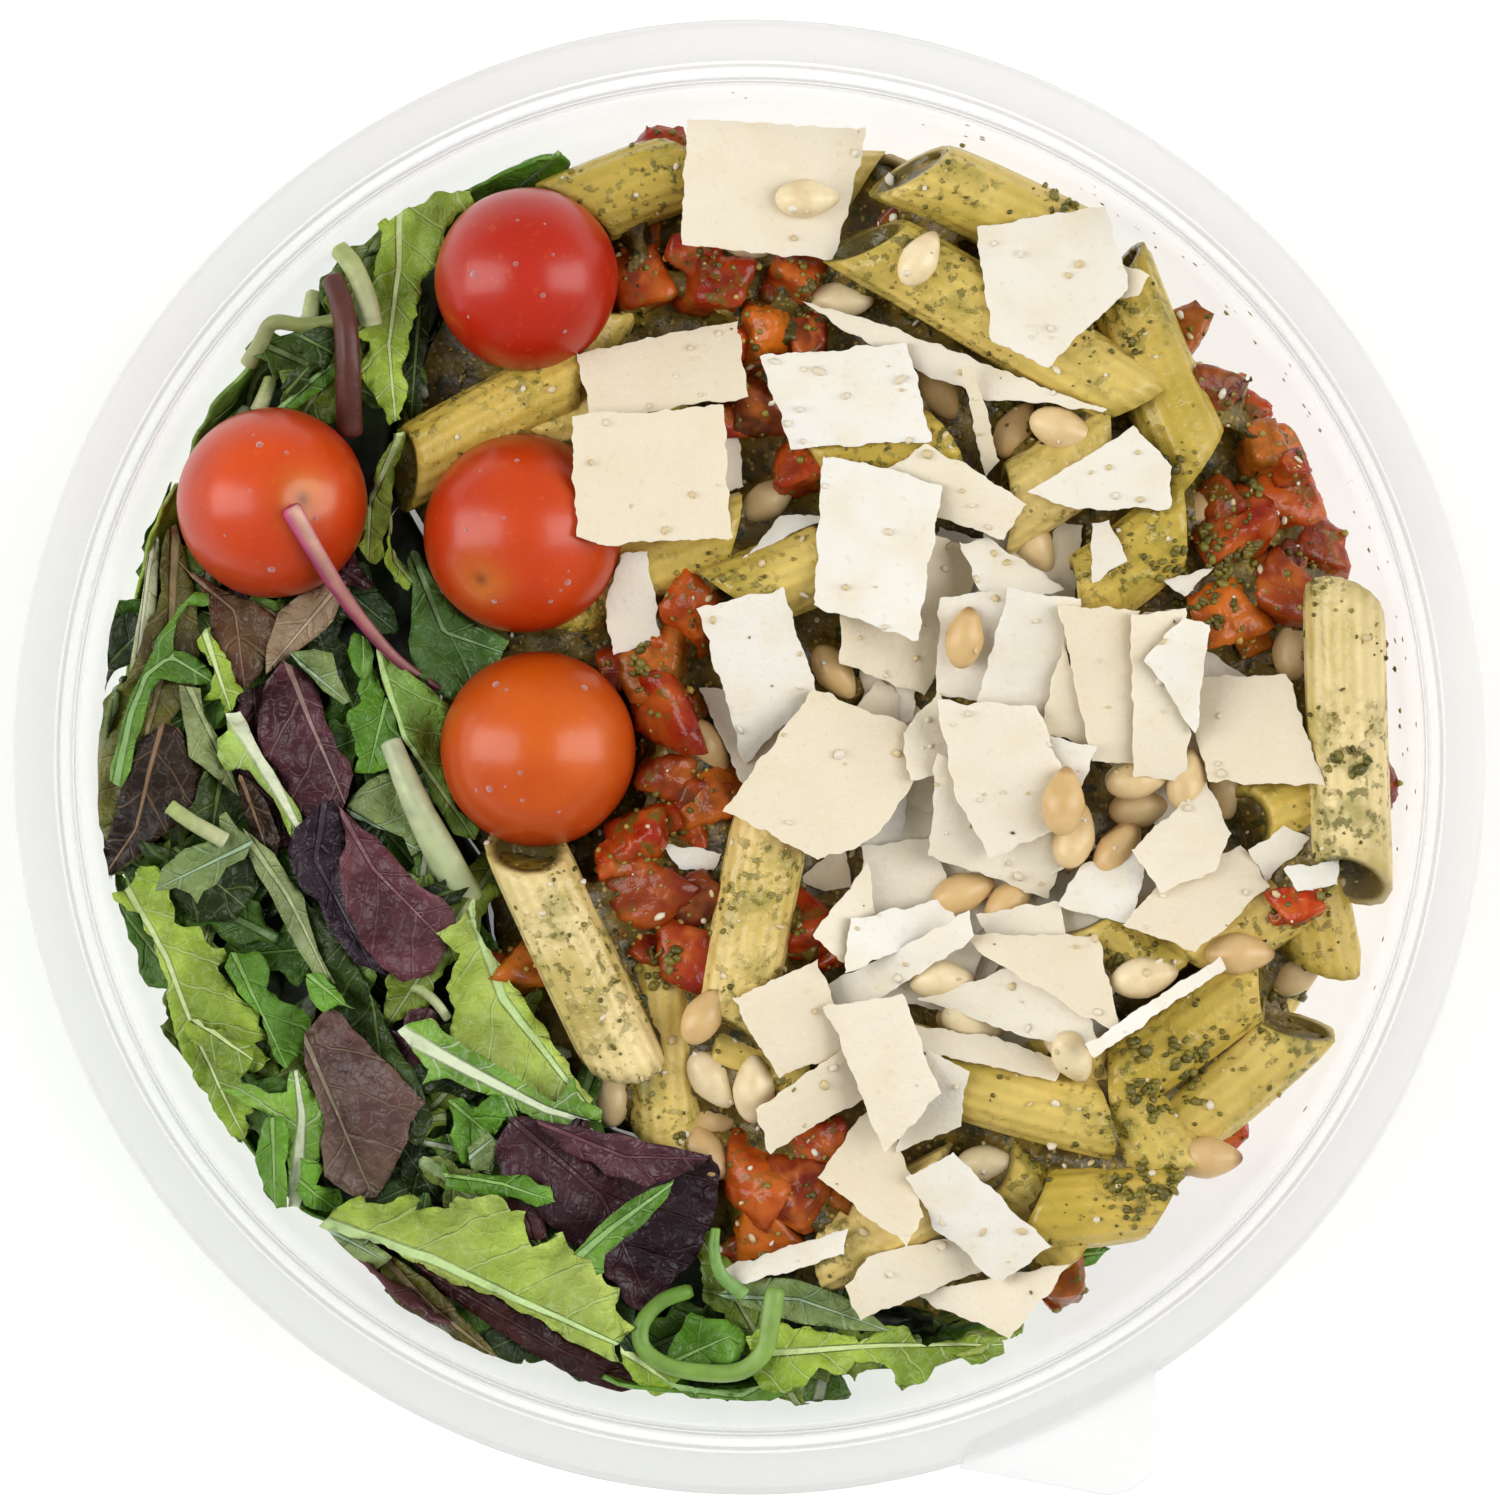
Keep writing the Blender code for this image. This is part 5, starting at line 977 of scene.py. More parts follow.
def lathe(batch, profile, sides, tints):
    """A closed shell turned about the axis from a closed profile of radius and height."""
    points, rings, colours = [], [], []
    turns = [math.tau * k / sides for k in range(sides)]
    for (radius, z), tint in zip(profile, tints):
        rings.append(range(len(points), len(points) + sides) if radius else [len(points)] * sides)
        ring = [Vector((radius * math.cos(a), radius * math.sin(a), z)) for a in (turns if radius else turns[:1])]
        points += ring
        colours += [tint] * len(ring)
    faces = [corners for low, high in zip(rings, rings[1:]) for corners in band(low, high)]
    batch.add(points, [list(dict.fromkeys(corners))[::-1] for corners in faces], colours)


def bump_at(z, place):
    """How much of a rounded ring shows at a height or radius, from 0 to 1."""
    middle, width = place
    return math.exp(-((z - middle) / width) ** 2)


def bowl_profiles(settings):
    """The wall with base and shoulder, the flange with its lip, both as closed profiles, and the wall's tints, with
    grey lines of painted shade at the rings.
    """
    rises = [(k / 26) ** 1.6 for k in range(23)]
    rises += [(FINE_ROWS_FROM + 0.4 * k * MM - WALL) / (WALL_HEIGHT - WALL) for k in range(20)] + [1.0]
    inner, outer = [], []
    for rise in rises:
        z = WALL + rise * (WALL_HEIGHT - WALL)
        out = settings.bead * (bump_at(z, BEAD) - bump_at(z, GROOVE))
        radius = ellipse_radius(rise) + max(out, -GROOVE_DEPTH)
        inner.append((radius, z))
        if rise > 0.05:
            outer.append((radius + WALL, z))
    base, mouth, rim, top, lip = (d / MM for d in (BASE_RADIUS, MOUTH_RADIUS, RIM_RADIUS, BOWL_HEIGHT, LIP_DROP))
    step = mouth + STEP_WIDTH / MM
    shoulder, under, foot, flange = ([(radius * MM, z * MM) for radius, z in part] for part in (
        ((mouth + 0.5, 51.3), (mouth + 1.1, 51.5), (step - 1, 51.8), (step - 0.6, 52.4), (step - 0.4, top - 0.3),
         (step, top)),
        ((step + 0.1, top - 0.8), (step - 0.1, 51.6), (mouth + 1, 50.8)),
        ((base + 6, 0.7), (base + 3, 0), (base - 4, 0), (base - 6, 0.35), (0, 0.35)),
        ((step + 0.05, top - 0.05), (step + 0.4, top), (rim - 1.2, top), (rim - 0.4, top - 0.25), (rim, top - 0.9),
         (rim, top - lip), (rim - 0.6, top - lip), (rim - 0.7, top - 1.1), (rim - 1.3, top - 0.7),
         (step + 0.2, top - 0.7), (step + 0.05, top - 0.05)),
    ))
    wall = [(0.0, WALL)] + inner + shoulder + under + outer[::-1] + foot
    # The tint greys at each ring's radius: lines of painted shade
    lines = [sum(bump_at(radius, (ridge, SHADE_LINE_WIDTH)) for ridge in SHADE_LINE_RADII) for radius, _ in inner + shoulder]
    tints = [WHITE] + [shaded(WHITE, 1 - min(line, 1.0)) for line in lines]
    return wall, flange, tints + [WHITE] * (len(wall) - len(tints))


def tab_shape(batch):
    """The rounded pull tab as a thin rounded plate under the flange's level."""
    cx, cy = TAB_CENTRE
    turns = [math.radians(a) for a in range(30, -106, -5)]
    outline = [TAB_START, *((cx + TAB_RADIUS * math.cos(a), cy + TAB_RADIUS * math.sin(a)) for a in turns), *TAB_END]
    points, rings = [], []
    for inset, z in TAB_SECTION:
        rings.append(range(len(points), len(points) + len(outline)))
        for x, y in outline:
            toward = (Vector(TAB_MIDDLE) - Vector((x, y))).normalized() * inset * MM
            points.append(Vector((x + toward.x, y + toward.y, BOWL_HEIGHT + z * MM)))
    faces = [[a, d, c, b] for low, high in zip(rings, rings[1:]) for a, b, c, d in band(low, high)]
    batch.add(points, faces + [list(rings[0]), list(rings[-1])[::-1]], WHITE)


def build_bowl(settings):
    """The bowl in two objects: the clear shell and the frosted flange with its tab."""
    wall, flange, tints = bowl_profiles(settings)
    shell, edge = Batch(), Batch()
    lathe(shell, wall, 192, tints)
    # Each sheet's second colour is the grey of its painted shade
    shell.build("bowl_shell", clear_pet("clear_pet", "ffffff", "a8aaaa", 0.08, 0, 0.03, 0.36), *IN_BOWL)
    lathe(edge, flange, 240, [WHITE] * len(flange))
    tab_shape(edge)
    edge.build("bowl_flange", clear_pet("frosted_pet", "f0f1f1", "c4c6c6", 0.5, 0.12, 0.66, 0.9), *IN_BOWL)


# The tomatoes

def build_tomatoes(settings, draw):
    """Four cherry tomatoes, each a slightly uneven ball with its own red, and the drops on them."""
    finish, drops = tomato_skin(), Batch()
    directions, faces = ball(96, 64)
    for number, ((x, y, z, radius), code, scar) in enumerate(zip(TOMATOES, TOMATO_COLOURS, SCARS), 1):
        batch, scar, centre = Batch(), Vector(scar).normalized(), Vector((x, y, z)) * MM
        points, tints = [], []
        for way in directions:
            # The stalk's scar is a pale halo round a small brown dimple
            off = 1 - way.dot(scar)
            dimple = math.exp(-(off / 0.012)) * 0.035
            lobes = 0.01 * noise(way * 1.6 + centre * 99)
            points.append(centre + way * radius * MM * (1 + lobes - dimple))
            halo = 0.75 * math.exp(-(off / 0.05) ** 1.2) * (0.7 + 0.3 * noise(way * 9))
            # Painted shade: the red deepens toward each tomato's sides and underside
            ripe = mixed(linear(code), linear(TOMATO_PAINTED_SHADE), min(max((1 - way.z) * 0.9 - 0.15, 0), 0.9))
            tint = mixed(ripe, linear(SCAR_HALO), max(halo, 0))
            tints.append(mixed(tint, linear(SCAR_CORE), min(math.exp(-(off / 0.0025)), 1)))
        batch.add(points, faces, tints)
        batch.build(f"cherry_tomato_{number}", finish, (f"tomato_{number}",), "tomato skin")
        for _ in range(settings.drops):
            way = Vector((draw.uniform(-0.8, 0.8), draw.uniform(-0.8, 0.8), 0.75)).normalized()
            size = draw.choice((0.2, 0.25, 0.3, 0.35, 0.5)) * MM
            lean = Vector((0, 0, 1)).rotation_difference(way).to_matrix()
            spot = centre + way * radius * MM
            drops.add([spot + lean @ Vector((p.x * size, p.y * size, p.z * size * 0.45)) for p in DROP[0]], DROP[1],
                      WHITE)
    drops.build("water_drops", water(), (), "tomato skin")


# The leaves

class Relief:
    """The highest point laid so far on each square millimetre."""

    def __init__(self):
        self.cells = {}

    def at(self, x, y):
        """The height around a place."""
        i, j = math.floor(x), math.floor(y)
        return max(self.cells.get((i + a, j + b), -99.0) for a in (-1, 0, 1) for b in (-1, 0, 1))

    def lay(self, x, y, z):
        """Notes a new surface."""
        key = (math.floor(x), math.floor(y))
        self.cells[key] = max(self.cells.get(key, -99.0), z)


def ragged(outline, tooth, seed, pitch=0.7):
    """The outline with a point every pitch, and fine teeth."""
    made = []
    for (x1, y1), (x2, y2) in zip(outline, outline[1:] + outline[:1]):
        length = math.hypot(x2 - x1, y2 - y1)
        steps = max(1, round(length / pitch))
        for share in (j / steps for j in range(steps)):
            x, y = x1 + (x2 - x1) * share, y1 + (y2 - y1) * share
            if length > 0:
                teeth = ((0.35, 1.1), (0.9, 0.6), (2.3, 0.25))
                push = sum(size * uneven(x * often, y * often, seed) for often, size in teeth) * tooth
                x, y = x + (y2 - y1) / length * push, y - (x2 - x1) / length * push
            made.append(Vector((x, y)))
    return made


def filled(edge, pitch, draw):
    """Points over a closed outline and the triangles between them, the outline's own points first."""
    heights = [p.y for p in edge]
    border = finder(edge)
    points = list(edge)
    y = min(heights) + pitch / 2
    while y < max(heights):
        crossings = []
        for p, q in zip(edge, edge[1:] + edge[:1]):
            if (p.y > y) != (q.y > y):
                crossings.append(p.x + (y - p.y) / (q.y - p.y) * (q.x - p.x))
        crossings.sort()
        for left, right in zip(crossings[::2], crossings[1::2]):
            x = left + pitch * 0.6
            while x < right - pitch * 0.4:
                spot = Vector((x + draw.uniform(-0.2, 0.2) * pitch, y + draw.uniform(-0.2, 0.2) * pitch))
                if border.find((spot.x, spot.y, 0))[2] > 0.45 * pitch:
                    points.append(spot)
                x += pitch
        y += pitch
    made = delaunay_2d_cdt(points, [], [list(range(len(edge)))], 1, 1e-5)
    return made[0], made[2], border


def draped(points, faces, heights, relief, gap):
    """Lifts the heights where the sheet would sink into what lies below, and eases the lift outward."""
    lifts = [max(0.0, relief.at(p.x, p.y) + gap - z) for p, z in zip(points, heights)]
    near = [set() for _ in points]
    for face in faces:
        for k in range(3):
            near[face[k]] |= {face[k - 2], face[k - 1]}
    for _ in range(7):
        lifts = [max(lift, 0.93 * sum(lifts[k] for k in ring) / len(ring)) if ring else lift
                 for lift, ring in zip(lifts, near)]
    return [z + lift for z, lift in zip(heights, lifts)]


def under_tomato(x, y, z):
    """A leaf's height, kept below any tomato that lies over it."""
    for cx, cy, cz, radius in TOMATOES:
        away = math.hypot(x - cx, y - cy)
        if away < radius:
            z = min(z, cz - math.sqrt(radius * radius - away * away) - 0.4)
    return z


def along_rib(rib):
    """Spots every 0.3 mm of a midrib: x, y, how far from its start, and its direction."""
    spots = []
    for (x1, y1), (x2, y2) in zip(rib, rib[1:]):
        length = math.hypot(x2 - x1, y2 - y1)
        steps = max(1, int(length / 0.3))
        base = spots[-1][2] if spots else 0.0
        spots += [(x1 + (x2 - x1) * j / steps, y1 + (y2 - y1) * j / steps, base + length * j / steps,
                   (x2 - x1) / length, (y2 - y1) / length) for j in range(steps + 1)]
    return spots


def leaf_row(batch, row, number, relief, draw, settings, light=1.0):
    """One leaf from its outline: laid over what is below, waved, veined and thick. A light below 1 darkens its blade
    and veins as painted shade.
    """
    kind, lift, rib, outline = row
    blade, second, vein, tooth, wave, rib_width, spacing = STYLES[kind]
    points, faces, border = filled(ragged(outline, tooth * 0.5, number * 3.7), settings.pitch / MM, draw)
    spots = along_rib(rib)
    track, total = finder(spots), spots[-1][2] or 1.0
    one, other = linear(blade), linear(second)
    # The light darkens veins and blade alike: painted shade
    pale = shaded(linear(vein), light)[:3]
    heights, tints, places, veins = [], [], [], []
    lean = draw.uniform(-0.12, 0.12)
    for x, y in points:
        sx, sy, along, dx, dy = spots[track.find((x, y, 0))[1]]
        across = (x - sx) * -dy + (y - sy) * dx
        # The hem is 1 at the edge, where the blade curls up and is paler
        hem = math.exp(-border.find((x, y, 0))[2] / 2.2)
        broad, fine = uneven(x / 9, y / 9, number * 1.3), uneven(x / 2.6, y / 2.6, number * 2.1)
        z = leaf_height(x, y) + (0.6 + lift) * LEAF_LAYER + wave * (0.8 * broad + (0.25 + hem) * fine)
        heights.append(z + (0.2 * min(abs(across), 9) + lean * across + 0.8 * hem))
        share = min(max(0.45 + 0.9 * broad + 0.35 * fine, 0), 1)
        tints.append(shaded(mixed(one, other, share), light * (0.92 + 0.25 * hem)))
        places.append((along, across, spacing))
        veins.append((*pale, rib_width * (1.05 - 0.75 * along / total)))
    heights = draped(points, faces, heights, relief, 0.45)
    heights = [under_tomato(p.x, p.y, z) for p, z in zip(points, heights)]
    for p, z in zip(points, heights):
        relief.lay(p.x, p.y, z)
    upper = [inside(Vector((p.x, p.y, z)) * MM, 0.5 * GAP) for p, z in zip(points, heights)]
    lower = [p - Vector((0, 0, settings.leaf_depth)) for p in upper]
    batch.add(upper + lower, both_sides(faces, len(points)), tints * 2, veins * 2, places * 2)


def filler_leaves(count, draw):
    """Rows for the half hidden leaves between those read from above: lobed blades that point any way."""
    while count > 0:
        x, y = anywhere(82, draw)
        if leafward(x, y) < 5:
            continue
        count -= 1
        way = Vector((1, 0))
        way.rotate(Matrix.Rotation(draw.uniform(0, math.tau), 2))
        length, width = draw.uniform(16, 30), draw.uniform(6, 11)
        lobes, phase = draw.choice((3, 4, 5)), draw.uniform(0, math.tau)
        base = Vector((x, y)) - way * length / 2
        side = Vector((-way.y, way.x))
        outline = []
        for sign, shares in ((1, range(13)), (-1, range(12, -1, -1))):
            for s in (k / 12 for k in shares):
                half = width / 2 * math.sin(math.pi * min(s * 0.93 + 0.05, 1)) ** 0.8
                half *= 0.78 + 0.3 * math.sin(phase + lobes * math.tau * s)
                outline.append(tuple(base + way * s * length + side * sign * half))
        tip = base + way * length
        kind = draw.choice(FILLERS)
        yield kind, draw.uniform(-0.3, 0.9), (tuple(base), (x, y), tuple(tip)), outline


def smooth_line(points, steps):
    """Even steps along a smooth line through some points."""
    line = []
    for k in range(steps + 1):
        at = k / steps * (len(points) - 1)
        j = min(int(at), len(points) - 2)
        f = at - j
        p0, p1, p2, p3 = (points[min(max(j + d, 0), len(points) - 1)] for d in (-1, 0, 1, 2))
        line.append(0.5 * ((2 * p1) + (p2 - p0) * f + (2 * p0 - 5 * p1 + 4 * p2 - p3) * f * f
                           + (3 * p1 - p0 - 3 * p2 + p3) * f ** 3))
    return line


def stem(batch, kind, track, first, last, steps=40, sides=16):
    """A round stalk along a smooth line, grooved a little, from its thick end to its thin one."""
    line = smooth_line([Vector(p) * MM for p in track], steps)
    one, other = (linear(code) for code in STEM_COLOURS[kind])
    points, tints = [], []
    for k, spot in enumerate(line):
        run = (line[min(k + 1, steps)] - line[max(k - 1, 0)]).normalized()
        side = run.cross(Vector((0, 0, 1))).normalized()
        up = side.cross(run)
        share = k / steps
        radius = (first + (last - first) * share) * MM * (0.75 if k in (0, steps) else 1)
        for a in (math.tau * j / sides for j in range(sides)):
            size = radius * (1 + 0.06 * math.cos(5 * a) + 0.05 * uneven(share * 9, math.cos(a), math.sin(a)))
            points.append(spot + (side * math.cos(a) + up * math.sin(a) * 0.85) * size)
            tint = mixed(one, other, min(share * 1.2, 1))
            if kind == "pink":
                # A pale painted highlight along the upper side of the pink stalk, fading toward its thin end
                painted_highlight = 0.5 + 0.5 * math.cos(a - 1.9)
                tint = mixed(tint, linear("e8c8a0"), 0.75 * painted_highlight ** 6 * (1 - share))
            tints.append(shaded(tint, 0.9 + 0.2 * uneven(share * 14, a, 3)))
    rings = [range(k * sides, (k + 1) * sides) for k in range(steps + 1)]
    faces = [face for low, high in zip(rings, rings[1:]) for face in band(low, high)]
    faces += [list(rings[0])[::-1], list(rings[-1])]
    batch.add(points, faces, tints, (*one[:3], 0.01), [(0.5, 9.0, 40.0)] * len(points))


def wall_leaf(batch, angle, z, length, width, lean, code, phase):
    """A leaf pressed against the wall, seen through it: a thick curved blade with a wavy edge."""
    rows, columns = 26, 16
    blade, second, vein = (linear(c) for c in STYLES[code][:3])
    spots = []
    for u in (2 * i / rows - 1 for i in range(rows + 1)):
        for v in (2 * j / columns - 1 for j in range(columns + 1)):
            half = 0.5 * width * math.sqrt(max(1 - 0.9 * u * u, 0.02)) * (1 + 0.1 * uneven(u * 4, v, phase))
            height = max(z + 0.5 * u * length * math.sin(lean) + v * half * math.cos(lean), 3 * MM + v * MM)
            turn = angle + (0.5 * u * length * math.cos(lean) - v * half * math.sin(lean)) / wall_radius(z)
            wave = 0.9 * MM * (1 + uneven(u * 2.2, v * 1.6, phase)) + 0.5 * MM * uneven(u * 7, v * 5, phase)
            spots.append((u, v, half, height, turn, wall_radius(height) - 2.4 * GAP - abs(wave)))
    count = len(spots)
    points = [Vector(((r - deep) * math.cos(t), (r - deep) * math.sin(t), h))
              for deep in (0, 0.5 * MM) for _, _, _, h, t, r in spots]
    faces = []
    line = columns + 1
    for a in (i * line + j for i in range(rows) for j in range(columns)):
        faces.append([a, a + line, a + line + 1, a + 1])
        faces.append([count + a, count + a + 1, count + a + line + 1, count + a + line])
    rim = [*range(columns), *range(columns, rows * line + columns, line), *range(count - 1, rows * line, -1),
           *range(rows * line, 0, -line)]
    faces += [[a, b, count + b, count + a] for a, b in zip(rim, rim[1:] + rim[:1])]
    tints = [mixed(blade, second, min(max(0.5 + uneven(u * 2, v * 2, phase + 5), 0), 1)) for u, v, *_ in spots]
    places = [((u + 1) * length / MM / 2, v * half / MM, 6.0) for u, v, half, *_ in spots]
    veins = [(*vein[:3], 0.5 * (1.05 - 0.4 * (u + 1))) for u, *_ in spots]
    batch.add(points, faces, tints * 2, veins * 2, places * 2)


def bed_from(node, name, size, move, finish, slot):
    """A packed heap, rebuilt in small even faces, as a rough bed under the fine pieces: every point moved by a
    function of it and its normal."""
    source = linked(name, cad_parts[node].data.copy())
    change = source.modifiers.new("Even faces", "REMESH")
    change.mode = "VOXEL"
    change.voxel_size = size
    mesh = bpy.data.meshes.new_from_object(source.evaluated_get(bpy.context.evaluated_depsgraph_get()))
    bpy.data.objects.remove(source, do_unlink=True)
    normals = [v.normal.copy() for v in mesh.vertices]
    for vert, normal in zip(mesh.vertices, normals):
        vert.co = move(vert.co.copy(), normal)
    mesh.materials.clear()
    mesh.materials.append(finish)
    mesh.polygons.foreach_set("material_index", [0] * len(mesh.polygons))
    mesh.shade_smooth()
    return placed(linked(name, mesh), (node,), slot)


def sunk_leaves(point, _normal):
    """The bed of leaves: below the blades, in from the wall, and rough."""
    rough = noise(point / (6 * MM)) * 1.6 + noise(point / (2.2 * MM)) * 0.7
    point.z = min(point.z, (leaf_height(point.x / MM, point.y / MM) - 1.5 + rough) * MM)
    far, limit = math.hypot(point.x, point.y), wall_radius(point.z) - (3.4 - 0.6 * rough) * MM
    if far > limit:
        point.x, point.y = point.x * limit / far, point.y * limit / far
    return point


def build_leaves(settings, draw):
    """All that is leaf: the shaded bed, the blades and stalks seen from above, and those against the wall."""
    bed_from("leaves", "leaf_bed", 1.5 * MM, sunk_leaves, leaves_in_painted_shade(), IN_LEAVES[1])
    relief, blades, stalks, around = Relief(), Batch(), Batch(), Batch()
    for number, row in enumerate(filler_leaves(settings.fillers, draw), 200):
        # The half hidden leaves are drawn at half brightness: painted shade for lying under the others
        leaf_row(blades, row, number, relief, draw, settings, 0.5)
    for number, (kind, lift, rib, outline) in enumerate(LEAVES):
        leaf_row(blades, (kind, lift, pairs(rib), pairs(outline)), number, relief, draw, settings)
    for row in STEMS:
        stem(stalks, *row)
    stalks.build("leaf_stalks", leaf_stalk(), *IN_LEAVES)
    finish = leaf_blade()
    blades.build("salad_leaves", finish, *IN_LEAVES)
    for _, angle, z in side_spots(*LEAVES_AT_WALL):
        size = draw.uniform(28, 42) * MM
        wall_leaf(around, angle, z, size, size * draw.uniform(0.4, 0.55), draw.uniform(-1.2, 1.2),
                  draw.choice(WALL_KINDS), draw.uniform(0, 50))
    around.build("leaves_at_wall", finish, *IN_LEAVES)


# The pasta

def penne(batch, start, end, roll, tint, draw, slant=0.7):
    """A ridged tube of pasta with slanted, hollow ends, bent and squashed a little."""
    length = (end - start).length
    ridges, per_ridge, rings = 16, 5, 14
    sides = ridges * per_ridge
    turn = (end - start).to_track_quat("Z", "Y").to_matrix() @ Matrix.Rotation(roll, 3, "Z")
    middle = (start + end) / 2
    bend, squash = draw.uniform(-0.5, 0.5) * MM, draw.uniform(0.94, 1.0)
    points, places = [], []
    walls = [(True, k) for k in range(rings + 1)] + [(False, k) for k in range(rings, -1, -1)]
    for outer, k in walls:
        share = k / rings
        bow = bend * (1 - (2 * share - 1) ** 2)
        end_turn = 1 if k == 0 else -1 if k == rings else 0
        for a in (math.tau * j / sides for j in range(sides)):
            ridge = 0.5 + 0.5 * math.cos(a * ridges)
            radius = PENNE_RADIUS - 0.1 * MM + 0.17 * MM * ridge if outer else PENNE_RADIUS - 1.5 * MM
            if outer and end_turn:
                radius -= 0.15 * MM
            x, y = radius * math.cos(a), radius * math.sin(a) * squash
            z = (share - 0.5) * length + slant * x * abs(2 * share - 1) + (0 if outer else 0.1 * MM * end_turn)
            points.append(inside(middle + turn @ Vector((x + bow, y, z))))
            # The third value is 1 on the inner wall, which the pasta's finish darkens as painted shade
            places.append((ridge if outer else 0.3, z / MM, 0.0 if outer else 1.0))
    layers = [range(k * sides, (k + 1) * sides) for k in range(len(walls))]
    faces = [face for low, high in zip(layers, layers[1:] + layers[:1]) for face in band(low, high)]
    batch.add(points, faces, tint, places=places)


def chunk(batch, bits, centre, size, turn, tint, seed):
    """A soft piece of tomato or pepper cut by a few flat faces, with rounded edges, and the pesto bits on it."""
    directions, faces = CHUNK
    cuts = random.Random(seed)
    planes = []
    for way in ((1, 0, 0), (-1, 0, 0), (0, 1, 0), (0, -1, 0), (0, 0, 1), (0, 0, -1)):
        tipped = Vector([c + cuts.uniform(-0.35, 0.35) for c in way]).normalized()
        planes.append((tipped, cuts.uniform(0.36, 0.52)))
    planes.append((Vector([cuts.uniform(-1, 1) for _ in range(3)]).normalized(), cuts.uniform(0.42, 0.5)))
    points, tints, ripe, dark = [], [], linear(DICE_RIPE), linear(DICE_DARK)
    for way in directions:
        total = sum((max(way.dot(normal), 0) / away) ** 9 for normal, away in planes)
        lumps, patch = (sum(deep * noise(way * often + Vector((seed, shift, 0))) for often, shift, deep in waves)
                        for waves in (((2.3, 0, 0.06), (5, 9, 0.09), (12, 4, 0.05)), ((1.5, 5, 1), (4, 2, 0.5))))
        points.append(inside(centre + turn @ (way * (size * total ** (-1 / 9) * (1 + lumps)))))
        tints.append(mixed(tint, ripe if patch > 0 else dark, min(abs(patch) * 1.2, 0.7)))
    batch.add(points, faces, tints)
    upper = [point for point in points if point.z > centre.z]
    for _ in range(7):
        grain, sort = cuts.uniform(0.15, 0.6) * MM, linear(cuts.choice((*HERBS, GRAIN)))
        spot = cuts.choice(upper)
        bits.add([spot + way * grain * (1 + 0.4 * noise(way * 2 + spot * 900)) for way in CRUMB[0]], CRUMB[1], sort)


def kernel(batch, centre, turn, tilt, up, draw):
    """A pine nut: a smooth drop with one slimmer, browner end."""
    lean = Vector((0, 0, 1)).rotation_difference(Vector(up)).to_matrix()
    spin = lean @ Euler((0, tilt, math.radians(turn))).to_matrix()
    pale, points, tints = linear(draw.choice(PINE)), [], []
    size, tip = draw.uniform(0.92, 1.04), draw.choice((0.15, 0.5, 0.9))
    long, wide, high = (side * size for side in NUT_SIZE)
    for way in KERNEL[0]:
        x, y, z = way.z / 2, way.y / 2, way.x / 2
        slim = 1 - 0.68 * max(x, 0)
        points.append(centre + spin @ Vector((x * long, y * wide * slim, z * high * slim + 1.2 * MM * x * x)))
        tints.append(mixed(pale, linear(PINE_TIP), min(max((x - 0.4) * 13, 0), tip)))
    batch.add(points, KERNEL[1], tints)


def rough_pesto(point, normal):
    """The bed of pasta: drawn in under the fine tubes and rough with pesto."""
    rough = noise(point / (5 * MM)) * 0.7 + noise(point / (1.8 * MM)) * 0.5
    return inside(point - normal * (0.9 - 0.6 * rough) * MM)


def lay_penne(draw):
    """The tubes seen from above, and more against the wall."""
    tubes, rolls = Batch(), random.Random(7)
    shades = [linear(code) for code in PENNE_SHADES]
    for (start, end, *lifts), shade in zip(PENNE, PENNE_TINTS):
        ends = []
        for (x, y), lift in zip((start, end), lifts):
            x, y = x * MM, y * MM
            ends.append(tucked(Vector((x, y, pasta_height(x, y) + (PENNE_LIFT + lift) * MM)), PENNE_RADIUS))
        penne(tubes, *ends, rolls.uniform(0, math.tau), shades[int(shade)], draw)
    for row, angle, z in side_spots(*PENNE_AT_WALL):
        lean, half = rolls.uniform(-4, 4) * MM, 0.19 if row else 0.2
        ends = [tucked(outside(angle + sign * half, z + sign * lean), PENNE_RADIUS) for sign in (-1, 1)]
        penne(tubes, *ends, rolls.uniform(0, math.tau), draw.choice(shades), draw)
    tubes.build("penne", pesto_pasta(), *IN_PASTA)


def lay_dice(packed, draw):
    """The dice, each with two smaller bits beside it, more against the wall where the salad covers them, and the
    pesto on them all."""
    dice, bits = Batch(), Batch()
    for number, (x, y, size) in enumerate(DICE):
        size *= MM
        top, _ = top_of([packed], x * MM, y * MM)
        turn = Euler([draw.uniform(-0.4, 0.4), draw.uniform(-0.4, 0.4), draw.uniform(0, 1.5)]).to_matrix()
        centre = tucked(top - Vector((0, 0, 0.44 * size)), 0.5 * size)
        tint = shaded(linear(DICE_COLOURS[number % len(DICE_COLOURS)]), draw.uniform(0.8, 1.15))
        chunk(dice, bits, centre, size * 1.1, turn, tint, number)
        for extra in (50, 100):
            way = Vector((draw.uniform(-1, 1), draw.uniform(-1, 1), draw.uniform(-0.5, 0.15))).normalized()
            near = shaded(linear(draw.choice(DICE_COLOURS)), draw.uniform(0.8, 1.1))
            small = draw.uniform(0.5, 0.75) * size
            chunk(dice, bits, tucked(centre + way * 0.62 * size, 0.5 * small), small, turn, near, number + extra)
    for row, angle, z in side_spots(*DICE_AT_WALL):
        size = draw.uniform(6, 8.5) * MM
        far = wall_radius(z) - 0.7 * size
        cover = top_of([packed], far * math.cos(angle), far * math.sin(angle))
        if cover is None or z + 0.5 * size > cover[0].z:
            continue
        turn = Euler([draw.uniform(0, 1), draw.uniform(0, 1), angle]).to_matrix()
        tint = linear(draw.choice(DICE_COLOURS))
        chunk(dice, bits, tucked(outside(angle, z), 0.62 * size), size, turn, tint, round(angle * 100) + row)
    dice.build("tomato_and_pepper_dice", roast_dice(), *IN_PASTA)
    bits.build("pesto_on_dice", crumb_stuff("pesto_bits", 0.3), *IN_PASTA)


